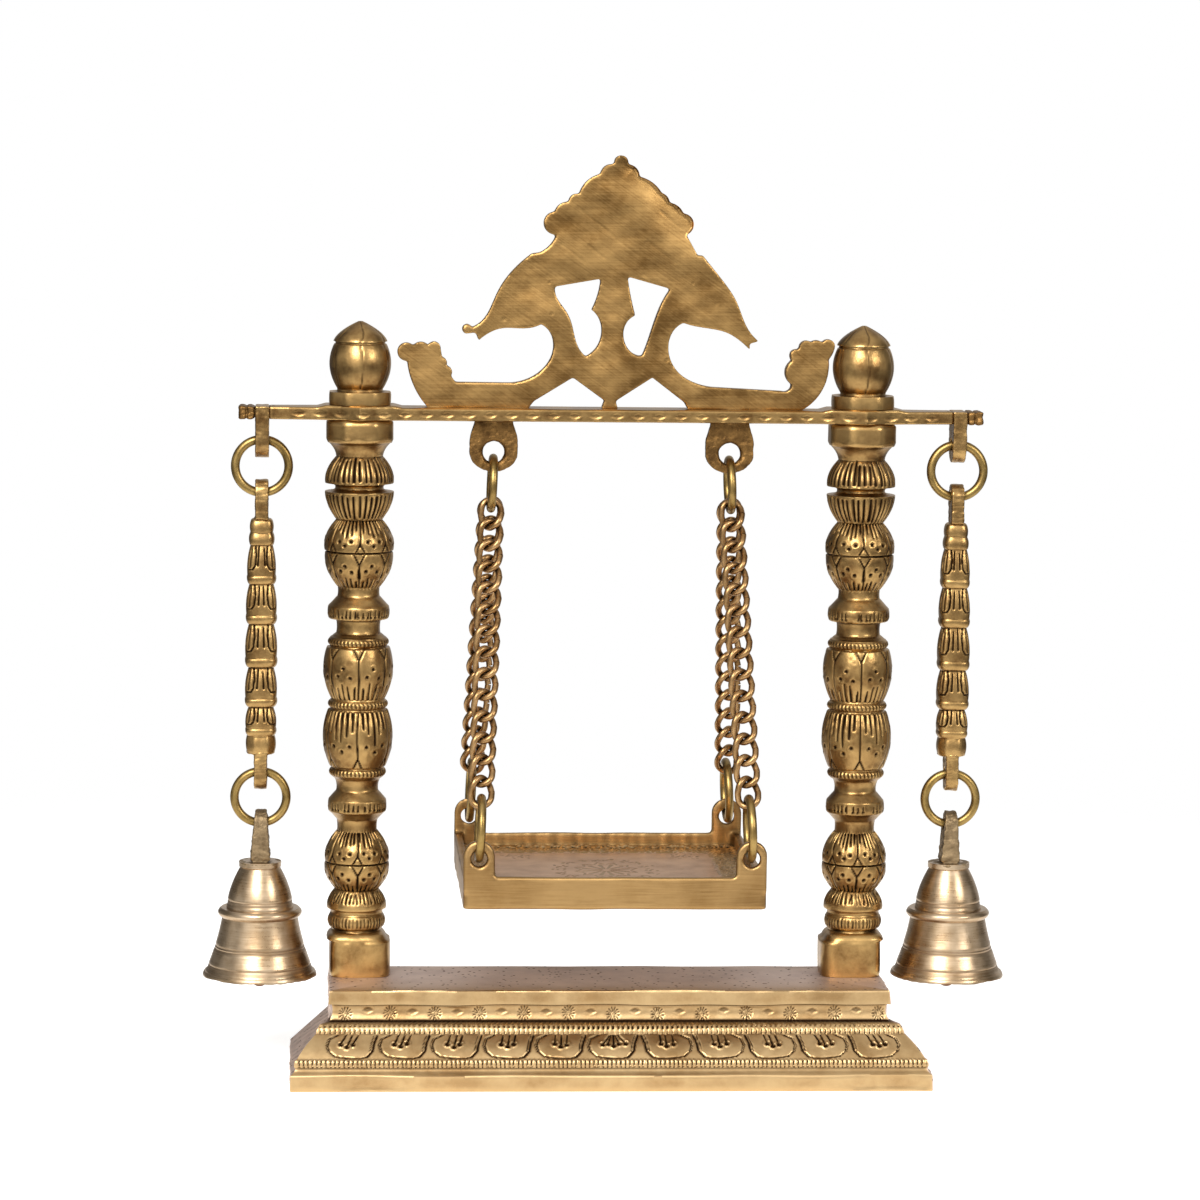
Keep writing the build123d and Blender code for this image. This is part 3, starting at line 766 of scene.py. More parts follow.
    def tarnish_and_shade(self, tree: Tree, place: Socket, hollow: Socket, cloud: Socket) -> Socket:
        """Share of the dark coat: tarnish in the recesses and the pits, and painted shade where wires lie
        close.

        Args:
            tree: node tree.
            place: coordinates.
            hollow: recesses; on the crest it also holds painted shade on the side walls.
            cloud: noise of the patches.

        Returns:
            Share from 0 to 1.
        """
        share = {0: cloud, 1: 0.5, 2: -0.2}
        share = add(tree, "Math", share, operation="MULTIPLY_ADD", use_clamp=True).outputs[0]
        layers = [hollow]
        if self.pits:
            layers.append(self.pit_field(tree, place))
        # Painted shade: ambient occlusion over this reach darkens the colour where wires lie close.
        if self.shadow:
            near = add(tree, "AmbientOcclusion", {"Distance": self.shadow * MM}, samples=8)
            layers.append(add(tree, "MapRange", {0: near.outputs["AO"], 1: 0.85, 2: 0.3}).outputs[0])
        for layer in layers:
            share = add(tree, "Math", {0: share, 1: layer}, operation="ADD", use_clamp=True).outputs[0]
        return share


# Chased cast brass: buffed on the raised work, brown in the punched lines.
CHASED = BrassFinish(
    "chased_brass", "#BE9A62", "#775833", "#20130A", 0.24, cloud=8.0, lump=2.0, lump_depth=0.075,
    grain_depth=0.018,
)
# Filed and buffed front of the base and border of the tray's floor: paler where cloth reaches it.
FILED = BrassFinish(
    "filed_brass", "#D0B080", "#A28156", "#24150A", 0.25, cloud=13.0, lump=5.0, lump_depth=0.08,
    grain_depth=0.018,
)
# Flat castings finished by hand with grit: fine scratches both ways along the face, clouds of brown.
BRUSHED = BrassFinish(
    "brushed_brass", "#B8925A", "#7A5A31", "#1C1008", 0.3, cloud=17.0, lump=11.0, lump_depth=0.1,
    brushed=(34.0, 6.0, 1.0), brush=1.7, hair=0.46, crossed=34.0,
)
# Worn tray floor: pinker and smoother than the walls, dark in the engraved lines.
ENGRAVED = BrassFinish(
    "engraved_brass", "#DAB492", "#B18C6C", "#22160E", 0.36, cloud=11.0, lump=3.0, lump_depth=0.05,
    slot="brushed_brass",
)
# Sand-cast skin that was never filed: rough, pitted, greyed towards purple.
AS_CAST = BrassFinish(
    "cast_brass", "#E2CCBE", "#C2ACA0", "#5E4C42", 0.48, cloud=13.0, lump=1.6, lump_depth=0.09,
    grain_depth=0.05, pits=0.62, pit=2.6, warm="#A8844E",
)
# Turned bell metal: pinker, with fine lathe rings.
TURNED = BrassFinish(
    "bell_brass", "#CFB798", "#A58A69", "#4A3018", 0.22, cloud=10.0, lump_depth=0.02,
    brushed=(30.0, 30.0, 1.0), brush=1.2,
)
# Crowns of the bells, as they came from the sand.
ROUGH = BrassFinish(
    "bell_crown_brass", "#9A8464", "#6C5A42", "#2A1E12", 0.42, cloud=3.5, lump=0.9, lump_depth=0.16,
    grain_depth=0.07, slot="bell_brass",
)
# Twisted links of softer wire, browner than the rings, with painted shade where links lie close.
LINKED = BrassFinish(
    "link_brass", "#C09A6A", "#8A6840", "#24170B", 0.26, cloud=6.0, lump=1.3, lump_depth=0.03, shadow=1.5
)
# Tray of the seat: flat cast sheet rubbed along its length.
TRAY = BrassFinish(
    "tray_brass", "#B3905E", "#8C6B40", "#2A190B", 0.3, cloud=34.0, lump=9.0, lump_depth=0.07,
    brushed=(30.0, 6.0, 1.0), brush=1.1, hair=0.42, slot="brushed_brass",
)
# Drawn wire, dulled and olive from handling, with painted shade where wires lie close.
DRAWN = BrassFinish(
    "wire_brass", "#AE9158", "#846B3C", "#261A0B", 0.27, cloud=5.0, lump=1.3, lump_depth=0.03, shadow=1.5
)
# Small rough castings that were only tumbled.
TONED = BrassFinish(
    "dark_brass", "#8F6C3E", "#5E4426", "#1C1108", 0.36, cloud=3.5, lump=1.0, lump_depth=0.14,
    grain_depth=0.05,
)
# Clapper tips, brown with age.
CLAPPER = BrassFinish(
    "clapper_brass", "#8A5A36", "#6A4024", "#2A170B", 0.35, cloud=3.0, lump=1.2, lump_depth=0.04
)
# Machined steel screws and washers, unseen from outside.
STEEL = BrassFinish("fastener_steel", "#B4B4B0", "#9A9A96", "#3A3A38", 0.34, lump_depth=0.01)


class Bench:
    """Finished materials and the steps that dress a piece and hand it over."""

    def __init__(self) -> None:
        """Starts with no material built."""
        self.made: dict[str, bpy.types.Material] = {}

    def coat(self, finish: BrassFinish) -> bpy.types.Material:
        """Material of a finish, built once.

        Args:
            finish: finish of a piece.

        Returns:
            The material.
        """
        if finish.name not in self.made:
            self.made[finish.name] = finish.material()
        return self.made[finish.name]

    def hand_over(
        self, piece: Piece, finish: BrassFinish, body: str, nodes: Sequence[str], slot: str = ""
    ) -> None:
        """Gives a piece its finish, and lets it ride on its body in place of its CAD nodes.

        Args:
            piece: piece to hand over.
            finish: its finish.
            body: body that carries it.
            nodes: CAD nodes that it replaces.
            slot: material slot, if the finish doesn't say it; not used.
        """
        piece.data.materials.clear()
        piece.data.materials.append(self.coat(finish))
        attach(piece, body)
        if nodes:
            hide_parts(*nodes)
        LOG.info("%s: %d faces, on %s", piece.name, len(piece.data.polygons), body)

    def second_coat(self, piece: Piece, finish: BrassFinish, layer: str, least: float) -> None:
        """Gives a second finish to the faces whose points all pass a value of a layer.

        Args:
            piece: piece with a first finish.
            finish: second finish.
            layer: layer to look at.
            least: value to pass.
        """
        values = layer_of(piece, layer)
        piece.data.materials.append(self.coat(finish))
        for face in piece.data.polygons:
            face.material_index = int(min(values[v] for v in face.vertices) > least)

    def dress(self, node: str, finish: BrassFinish) -> None:
        """Gives a CAD node its finish.

        Args:
            node: node to dress.
            finish: its finish.
        """
        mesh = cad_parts[node].data
        mesh.materials.clear()
        mesh.materials.append(self.coat(finish))
        LOG.info("%s: finished as %s", node, finish.name)

    def worn_copy(
        self, node: str, name: str, voxel: float = 0.0, lumps: float = 0.0, settle: int = 3,
        keep: tuple[Corner, Corner] | None = None,
    ) -> Piece:
        """Copy of a CAD node, with its edges rounded by a voxel skin if asked. Sizes in millimetres.

        Args:
            node: node to copy.
            name: name of the new piece.
            voxel: cell of the skin, or 0 for none.
            lumps: how uneven the casting is.
            settle: rounds of smoothing after the skin.
            keep: lowest and highest corner of the part of the node that is kept.

        Returns:
            The new piece.
        """
        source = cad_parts[node]
        piece = put(name, source.data.copy())
        with editing(piece):
            bpy.ops.mesh.remove_doubles(threshold=CAD_MERGE)
            bpy.ops.mesh.customdata_custom_splitnormals_clear()
        if keep:
            keep_box(piece, *keep)
        if voxel:
            apply_modifier(piece, "REMESH", mode="VOXEL", voxel_size=voxel * MM)
            apply_modifier(piece, "SMOOTH", factor=0.5, iterations=settle)
        if lumps:
            points = points_of(piece)
            over = lumpy(points / MM, 3.0, len(name)) + 0.5 * lumpy(points / MM, 1.2, len(name) + 1)
            place_points(piece, points + normals_of(piece) * (over * lumps * MM)[:, None])
        smooth(piece)
        if voxel:
            weather(piece, broad=0.0)
        return piece


# ---- turned work


def facet_share(turn: Array, form: Form) -> Array:
    """Plan radius of a block with flat sides, for each angle, as a share of half its width.

    Args:
        turn: angles round the axis.
        form: plan of the block.

    Returns:
        Share at each angle.
    """
    sides, sharp = {Form.SQUARE: (4, 4.4), Form.CUSHION: (4, 3.6), Form.OCTAGON: (8, 17)}[form]
    total = np.zeros_like(turn)
    for k in range(sides):
        normal = k * 2 * math.pi / sides
        reach = 1.04 if form is Form.OCTAGON and k % 2 else 1.0
        total += (np.clip(np.cos(turn - normal), 0, 1) / reach) ** sharp
    return total ** (-1 / sharp)


@dataclass
class Turning:
    """A turned and chased piece about an upright axis."""

    steps: Sequence[Step]
    foot_z: float
    x: float
    seed: int
    columns: int = 176
    fine: float = 0.42
    coarse: float = 1.1
    dent_share: float = 0.06  # dents per square millimetre
    buffed: float = 1.3  # how far the plain necks are freed of tarnish
    lean: float = 0.0  # sideways shift of the first block
    least_shelf: float = 0.02  # a smaller change of radius needs no rows of its own
    unevenness: float = 0.06  # of the plain necks
    seam_depth: float = 0.55
    bead_pitch: float = 1.45
    bead_depth: float = 0.5

    def rows(self) -> list[Array]:
        """Radius, height, step number and share of the step for each row, from pole to pole.

        Returns:
            Four arrays with one value for each row.
        """
        rows = [(0.0, self.foot_z, -1, 0.0)]
        z = self.foot_z
        for index, step in enumerate(self.steps):
            before = rows[-1][0]
            gap = step.foot - before
            shelves = max(1, round(abs(gap) / self.coarse)) if abs(gap) > self.least_shelf else 0
            rows += [(before + gap * k / shelves, z, -1, 0.0) for k in range(1, shelves)]
            pitch = self.coarse if step.chase is Chase.PLAIN else self.fine
            bulge = abs(step.middle - (step.foot + step.head) / 2)
            count = max(2, math.ceil((step.height + bulge) / pitch))
            for t in (k / count for k in range(count + 1)):
                rows.append((step.radius(t), z + step.height * t, index, t))
            z += step.height
        rows.append((0.0, z, -1, 0.0))
        return [np.array(column) for column in zip(*rows)]

    def petals(self, step: Step, girth: float, draw: Draw) -> list[Mark]:
        """Punch marks of a petalled step, in its unrolled surface.

        Args:
            step: the step.
            girth: length round it, in millimetres.
            draw: source of the random numbers.

        Returns:
            The marks.
        """
        plan = PETAL_PLANS[step.chase]
        pitch = girth / plan.count
        tall = step.height
        hangs = step.chase in (Chase.PETAL_DOWN, Chase.BULB_DOWN)
        root, way = (tall, -1) if hangs else (0.0, 1)
        marks: list[Mark] = []
        for n in range(plan.count):
            mid = (n + 0.5) * pitch + draw.uniform(-0.3, 0.3)
            edge = n * pitch + draw.uniform(-0.25, 0.25)
            for k in range(plan.strokes):
                share = (k + 0.5) / plan.strokes - 0.5
                x = mid + share * pitch * 0.86 + draw.uniform(-0.18, 0.18)
                long = plan.reach * tall * (1.06 - 0.9 * abs(share)) * draw.uniform(0.78, 1.08)
                lean = draw.uniform(-0.2, 0.35)
                marks.append(Stroke(x, root, x + lean, root + way * long, plan.width, 0.26, plan.depth))
            for share, rise in plan.dots:
                x, y = mid + share * pitch, tall * rise + draw.uniform(-0.2, 0.2)
                marks.append(Dot(x, y, 0.74, 0.55))
            tip = plan.wedge_height if hangs else tall - plan.wedge_height
            far = 0.0 if hangs else tall
            sway = draw.uniform(-0.35, 0.35)
            half = (root + tip) / 2
            marks.append(Stroke(edge, root, edge + sway, half, 0.4, 0.32, 0.5))
            marks.append(Stroke(edge + sway, half, edge, tip, 0.32, 0.34, 0.5))
            for hand in (-1, 1):
                foot = edge + hand * plan.wedge_width / 2 * draw.uniform(0.85, 1.1)
                marks.append(Stroke(edge, tip, foot, far, 0.42, 0.36, 0.52))
            if plan.teardrop:
                marks.append(Stroke(edge, tip - 0.8, edge, tip - 0.8 - plan.teardrop, 0.3, 0.72, 0.75))
        return marks

    def dents(self, tall: float, girth: float, draw: Draw) -> list[Mark]:
        """Shallow dents that the hammer left between the marks.

        Args:
            tall: height of the step, in millimetres.
            girth: length round it, in millimetres.
            draw: source of the random numbers.

        Returns:
            The marks.
        """
        ranges = ((0, girth), (0.3, tall - 0.3), (0.6, 1.5), (0.03, 0.1))
        count = int(girth * tall * self.dent_share)
        return [Dot(*(draw.uniform(*span) for span in ranges)) for _ in range(count)]

    def flutes(self, plan: FlutePlan, tall: float, girth: float, draw: Draw) -> list[Mark]:
        """Hand-cut flutes or notches of a ring, in its unrolled surface.

        Args:
            plan: how the flutes are cut.
            tall: height of the step, in millimetres.
            girth: length round it, in millimetres.
            draw: source of the random numbers.

        Returns:
            The marks.
        """
        count = round(girth / plan.pitch)
        marks: list[Mark] = []
        for n in range(count):
            x = n * girth / count + draw.uniform(-plan.jitter, plan.jitter)
            low = tall * (plan.low + draw.uniform(-0.04, 0.05))
            high = tall * (plan.high - draw.uniform(0, 0.14))
            wide, deep = plan.width * draw.uniform(0.75, 1.15), plan.depth * draw.uniform(0.6, 1.1)
            if draw.uniform() < plan.missed:
                continue
            lean = draw.uniform(-plan.lean, plan.lean)
            marks.append(Stroke(x, low, x + lean, high, wide, wide * 0.8, deep))
            if plan.dot:
                marks.append(Dot(x, low, plan.dot, plan.depth))
        return marks

    def bud(self, tall: float, girth: float, draw: Draw) -> list[Mark]:
        """Two slits in each face of a square bud and an arch round each of its corners.

        Args:
            tall: height of the step, in millimetres.
            girth: length round it, in millimetres.
            draw: source of the random numbers.

        Returns:
            The marks.
        """
        arch = ((-1.2, 0.98), (-1.8, 0.66), (-1.6, 0.36), (-0.8, 0.22))
        arch += tuple((-x, y) for x, y in arch[::-1])
        marks: list[Mark] = []
        for n in range(4):
            face, corner = n * girth / 4, (n + 0.5) * girth / 4
            for k in (-1, 1):
                x = face + k * 1.1 + draw.uniform(-0.25, 0.25)
                high = tall * draw.uniform(0.84, 0.97)
                marks.append(Stroke(x, tall * 0.34, x - k * 0.15, high, 0.34, 0.26, 0.55))
            marks.append(Stroke(corner, tall * 0.3, corner, tall * 0.86, 0.34, 0.3, 0.45))
            marks += stroke_line([(corner + x, tall * y) for x, y in arch], 0.36, 0.6)
        return marks

    def lotus(self, tall: float, girth: float) -> list[Mark]:
        """Six seams of a lotus bud, each bowed to one side.

        Args:
            tall: height of the step, in millimetres.
            girth: length round it, in millimetres.

        Returns:
            The marks.
        """
        rise = [k / 4 for k in range(5)]
        marks: list[Mark] = []
        for n in range(6):
            line = [(n * girth / 6 + 0.9 * math.sin(math.pi * t), tall * t) for t in rise]
            marks += stroke_line(line, 0.34, 0.22)
        return marks

    def depth(self, step: Step, turn: Array, share: Array, draw: Draw) -> Array:
        """Depth of the chasing of one step, in millimetres, for angles and shares of its height.

        Args:
            step: the step.
            turn: angles round the axis.
            share: shares of the step's height.
            draw: source of the random numbers.

        Returns:
            Depth at each point.
        """
        chase, tall = step.chase, step.height
        girth = 2 * math.pi * step.middle
        if chase is Chase.PLAIN:
            x, y = np.cos(turn) * step.middle, np.sin(turn) * step.middle + share * 3
            return self.unevenness * ripple(x, y, 6.0, self.seed + 7)
        if chase is Chase.SEAM:
            shut = 0.35 + 0.65 * np.clip(np.sin(turn + draw.uniform(0, 6)) * 2, 0, 1)
            return np.sin(math.pi * share) * self.seam_depth * shut
        if chase is Chase.BEADED:
            slant = round(girth / self.bead_pitch) * turn / 2 + share * 0.8
            rounding = np.clip(np.sin(math.pi * share) * 1.5, 0, 1)
            return self.bead_depth * (1 - np.abs(np.cos(slant))) ** 1.1 * rounding
        if chase is Chase.BUD:
            marks = self.bud(tall, girth, draw)
        elif chase is Chase.LOTUS:
            marks = self.lotus(tall, girth)
        elif chase in FLUTE_PLANS:
            marks = self.flutes(FLUTE_PLANS[chase], tall, girth, draw) + self.dents(tall, girth, draw)
        else:
            marks = self.petals(step, girth, draw) + self.dents(tall, girth, draw)
        return carve(turn * step.middle, share * tall, marks, girth)

    def build(self, name: str) -> Piece:
        """Builds the piece as one closed skin.

        Args:
            name: name of the piece.

        Returns:
            The piece.
        """
        radius, height, number, share = self.rows()
        draw = np.random.default_rng(self.seed)
        angles = np.linspace(0, 2 * math.pi, self.columns + 1)
        reach = widen(radius, self.columns + 1)
        cut = np.zeros_like(reach)
        tarnish = np.zeros_like(reach)
        for index, step in enumerate(self.steps):
            here = np.flatnonzero(number == index)
            turn, part = np.meshgrid(angles, share[here])
            cut[here] = self.depth(step, turn, part, draw)
            tarnish[here] = np.clip(cut[here] / 0.5, 0, 1)
            if step.chase is Chase.PLAIN:
                tarnish[here] = -self.buffed
            if step.form is not Form.ROUND:
                reach[here] = radius[here][:, None] * facet_share(angles, step.form)[None, :]
        slope_r, slope_z = (
            np.gradient(np.convolve(np.pad(line, 2, "edge"), np.ones(5) / 5, "valid"))
            for line in (radius, height)
        )
        size = np.hypot(slope_r, slope_z).clip(TINY)
        out_r, out_z = slope_z / size, -slope_r / size
        out_r[[0, -1]] = out_z[[0, -1]] = 0
        cut[:, -1] = cut[:, 0]
        shift = np.where(height < self.foot_z + self.steps[0].height + 0.01, self.lean, 0.0)

        def bend(columns: Array, rows: Array) -> Array:
            """Places of the points of a column and row, in millimetres."""
            turn = angles[columns % self.columns]
            r = np.maximum(reach[rows, columns] - cut[rows, columns] * out_r[rows], 0)
            z = height[rows] - cut[rows, columns] * out_z[rows]
            return np.stack([self.x + shift[rows] + r * np.sin(turn), -r * np.cos(turn), z], 1)

        return bent_grid(name, self.columns, len(radius) - 1, bend, {"carved_and_shaded": tarnish})


PILLAR_STEPS = (
    Step(11.6, 10.0, 10.15, 10.05, form=Form.SQUARE),
    Step(2.9, 10.0, 9.7, 8.4, form=Form.SQUARE),
    Step(1.3, 8.3, 8.0, 8.5),
    Step(4.3, 8.9, 9.6, 8.9, Chase.FINE),
    Step(2.0, 8.8, 8.6, 9.0),
    Step(6.4, 9.85, 9.4, 7.3, Chase.FLARED),
    Step(8.9, 7.2, 10.1, 10.7, Chase.PETAL_UP),
    Step(0.6, 10.3, 10.3, 10.3, Chase.SEAM),
    Step(10.1, 10.6, 9.9, 6.8, Chase.PETAL_DOWN),
    Step(3.9, 6.6, 6.55, 6.8),
    Step(2.6, 6.9, 8.0, 9.3),
    Step(4.0, 9.4, 9.7, 9.5, Chase.NOTCHED),
    Step(2.8, 9.5, 8.3, 7.1),
    Step(4.4, 7.0, 6.9, 7.6),
    Step(0.8, 7.9, 8.4, 8.8),
    Step(2.4, 8.9, 9.5, 8.9, Chase.BEADED),
    Step(0.7, 8.6, 8.5, 8.8),
    Step(18.9, 9.2, 11.55, 9.9, Chase.BULB_DOWN),
    Step(0.7, 9.2, 9.0, 9.2),
    Step(2.4, 9.3, 10.0, 9.3, Chase.BEADED),
    Step(0.7, 9.2, 8.9, 8.9),
    Step(17.0, 9.0, 11.45, 10.4, Chase.BULB_UP),
    Step(0.6, 9.6, 9.3, 9.4),
    Step(2.3, 9.5, 10.15, 9.5, Chase.BEADED),
    Step(0.4, 9.4, 9.3, 9.2),
    Step(1.2, 8.9, 8.3, 7.6),
    Step(4.9, 7.3, 7.1, 7.4),
    Step(4.2, 9.7, 10.25, 10.0, Chase.NOTCHED),
    Step(3.1, 10.0, 8.5, 7.2),
    Step(3.3, 7.0, 6.8, 6.9),
    Step(11.4, 7.1, 10.45, 11.25, Chase.PETAL_UP),
    Step(0.7, 11.0, 11.0, 11.0, Chase.SEAM),
    Step(10.1, 11.35, 10.85, 7.6, Chase.PETAL_DOWN),
    Step(9.3, 7.6, 10.4, 11.4, Chase.FLUTED),
    Step(0.8, 9.6, 8.6, 8.1),
    Step(1.1, 8.0, 7.9, 8.0),
    Step(0.8, 8.1, 8.6, 9.6),
    Step(8.9, 11.3, 10.7, 7.6, Chase.FLUTED),
    Step(4.6, 7.7, 8.4, 10.3),
    Step(1.2, 10.5, 10.8, 11.0, form=Form.OCTAGON),
    Step(6.5, 11.0, 11.0, 11.0, form=Form.OCTAGON),
)

FINIAL_STEPS = (
    Step(4.3, 10.15, 10.15, 10.15, form=Form.OCTAGON),
    Step(1.0, 7.5, 7.5, 7.5),
    Step(14.6, 7.6, 10.1, 8.6, Chase.LOTUS),
    Step(0.8, 8.2, 8.2, 8.2),
    Step(6.6, 8.9, 6.2, 0.6, Chase.LOTUS),
)


def middle_x(node: str) -> float:
    """Middle of a CAD node along X, in millimetres."""
    low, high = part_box(node)
    return (low.x + high.x) / 2 / MM


def foot_z(node: str) -> float:
    """Lowest height of a CAD node, in millimetres."""
    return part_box(node)[0].z / MM


@dataclass
class Pillars:
    """Two turned and chased pillars with their finials."""

    bench: Bench
    inset: float = 1.1  # block foot towards the middle of the base

    def build(self) -> None:
        """Builds and dresses the pillars and finials."""
        for name, side in SIDES.items():
            x = middle_x("finial_" + name)
            foot = foot_z("pillar_" + name)
            pillar = Turning(PILLAR_STEPS, foot, x, 11 + side, lean=-side * self.inset)
            self.finish(pillar.build("chased_pillar_" + name), "pillar_" + name)
            finial = Turning(FINIAL_STEPS, foot_z("finial_" + name), x, 31 + side, columns=120)
            self.finish(finial.build("lotus_finial_" + name), "finial_" + name)

    def finish(self, piece: Piece, node: str) -> None:
        """Softens the edges, finds the recesses and hands the piece over.

        Args:
            piece: turned piece.
            node: CAD node that it replaces.
        """
        apply_modifier(piece, "SMOOTH", factor=0.35, iterations=2)
        smooth(piece, 60)
        weather(piece)
        self.bench.hand_over(piece, CHASED, "frame", [node])


# ---- base


class Zone(Enum):
    """Bands of the base's skin, from its hollow round the rim and up the front."""

    HOLLOW = "hollow under the base"
    SLAB = "slab"
    COVE = "cove over the slab"
    LOWER_ROPE = "lower rope band"
    PETALS = "petal slope"
    UPPER_ROPE = "upper rope band"
    STAMPED = "stamped band"
    PLATE = "edge of the top plate"
    TOP = "top plate"


@dataclass(frozen=True)
class Course:
    """Run of the base's profile: inset and height at both ends, in mm, and its rows."""

    zone: Zone
    inset_low: float
    z_low: float
    inset_high: float
    z_high: float
    rows: int
    bow: float = 0.0  # how far the middle lies in from a straight run


@dataclass
class Base:
    """Hollow stepped casting with a chased front. Sizes in millimetres."""

    bench: Bench
    width: float = 209.5
    front: float = 46.0
    back: float = 11.0
    end_share: float = 0.85
    wall: float = 3.5
    plate_inset: float = 15.0
    top: float = 30.4
    front_columns: int = 600
    end_columns: int = 48
    back_columns: int = 14
    panels: int = 5  # petal panels on each side of the middle one
    panel_pitch: float = 17.0
    upper_pitch: float = 1.62  # of the rope bands
    lower_pitch: float = 1.45
    rosette_pitch: float = 14.6
    rosette_rays: int = 13
    sides_eased: float = 0.22  # share of an end over which its slope grows out of the front
    boss_radius: float = 8.0
    bore_radius: float = 5.3
    boss_foot: float = 18.2
    boss_seat: float = 21.4
    edge_glow: float = 7.0
    edge_wave: float = 4.0
    slope_foot: float = 5.4
    slope_rise: float = 11.6
    courses: tuple[Course, ...] = (
        Course(Zone.HOLLOW, 18.5, 26.4, 17.9, 21.8, 3),
        Course(Zone.HOLLOW, 19.1, 21.8, 19.1, 16.0, 2),
        Course(Zone.HOLLOW, 14.9, 16.0, 13.5, 13.0, 2),
        Course(Zone.HOLLOW, 12.9, 13.0, 5.9, 6.1, 3),
        Course(Zone.HOLLOW, 5.5, 6.1, 5.5, 3.5, 1),
        Course(Zone.HOLLOW, 5.3, 3.5, 3.5, 0.0, 2),
        Course(Zone.SLAB, 0.25, 0.0, 0.0, 0.3, 1),
        Course(Zone.SLAB, 0.0, 0.9, 0.1, 5.1, 4),
        Course(Zone.COVE, 0.35, 5.4, 2.0, 7.5, 6, 0.45),
        Course(Zone.LOWER_ROPE, 1.7, 7.6, 2.0, 10.1, 9, -0.35),
        Course(Zone.PETALS, 2.6, 10.3, 9.4, 16.9, 28, -0.5),
        Course(Zone.UPPER_ROPE, 9.8, 17.1, 11.4, 20.0, 11, -0.35),
        Course(Zone.STAMPED, 15.0, 20.2, 15.9, 25.7, 18, 0.7),
        Course(Zone.PLATE, 14.6, 25.8, 15.0, 30.1, 7),
        Course(Zone.TOP, 15.3, 30.4, 17.0, 30.4, 3),
    )
    top_rows: tuple[float, ...] = (4.0, 7.0, 10.0, 13.0, 16.0, 18.5, 20.2)  # in from the plate's edge

    def build(self) -> None:
        """Builds the casting and its screw bosses and hands them over."""
        piece = self.casting()
        bosses = [self.boss(x) for x in (middle_x("pillar_left"), middle_x("pillar_right"))]
        piece = join("stepped_base", [piece, *bosses])
        smooth(piece, 50)
        weather(piece, broad=0.1)
        self.bench.hand_over(piece, AS_CAST, "frame", ["base"])
        self.bench.second_coat(piece, FILED, "filed", 0.95)

    def profile(self) -> dict[str, Array]:
        """Rows of the skin: insets at the front, ends and back, height, zone and run in the zone.

        Returns:
            One value for each row, by name.
        """
        rows = []
        number = {kind: place for place, kind in enumerate(Zone)}
        for course in self.courses:
            run = math.hypot(course.inset_high - course.inset_low, course.z_high - course.z_low)
            for k in range(course.rows + 1):
                t = k / course.rows
                inset = course.inset_low + (course.inset_high - course.inset_low) * t
                inset += course.bow * math.sin(math.pi * t)
                z = course.z_low + (course.z_high - course.z_low) * t
                end, back = inset * self.end_share, 0.0
                if course.zone is Zone.HOLLOW:
                    end, back = end + self.wall * (1 - self.end_share), self.wall
                elif course.zone is Zone.TOP:
                    back = max(inset - self.plate_inset, 0)
                    end = self.plate_inset * self.end_share + back
                rows.append((inset, end, back, z, number[course.zone], run * t))
        for past in self.top_rows:
            end = self.plate_inset * self.end_share + past
            rows.append((self.plate_inset + past, end, past, self.top, number[Zone.TOP], past))
        return dict(zip(("front", "end", "back", "z", "zone", "run"), np.array(rows).T))

    def petal(self, mid: float, draw: Draw) -> list[Mark]:
        """Double border and three stamens of one petal panel.

        Args:
            mid: middle of the panel along X, in millimetres.
            draw: source of the random numbers.

        Returns:
            The marks.
        """
        way = -1 if mid < 1 else 1
        marks: list[Mark] = []
        near = (
            (-4.6, 9.5), (-7.4, 8.0), (-8.2, 5.6), (-7.6, 3.0),
            (-5.8, 1.1), (-2.5, 0.5), (2.6, 0.35), (4.6, 1.0),
        )
        far = ((4.6, 1.0), (6.4, 3.4), (6.9, 6.4), (7.9, 9.2))
        outer = [(x * 1.09 + 0.15, y * 1.02) for x, y in near[:4]]
        inner = [(x * 0.9 - 0.25, y) for x, y in far[1:]]
        lines = ((near, 0.26, 0.42), (far, 0.5, 0.42), (outer, 0.2, 0.25), (inner, 0.22, 0.25))
        for line, wide, depth in lines:
            marks += stroke_line([(mid - way * x, y) for x, y in line], wide, depth)
        stamens = 5 if abs(mid) < 1 else 3
        for k in range(stamens):
            spread = k - (stamens - 1) / 2
            start = mid + spread * (0.55 if stamens == 5 else 2.0) + draw.uniform(-0.2, 0.2)
            lean = spread * 1.3 if stamens == 5 else 0.022 * mid
            length = (4.3 if abs(spread) < 0.6 else 3.4) + draw.uniform(-0.25, 0.25)
            foot = 9.6 - length
            marks.append(Stroke(start, 9.7, start + lean, foot, 0.28, 0.36, 0.55))
            marks.append(Dot(start + lean, foot - 0.2, 0.84, 0.75))
        return marks

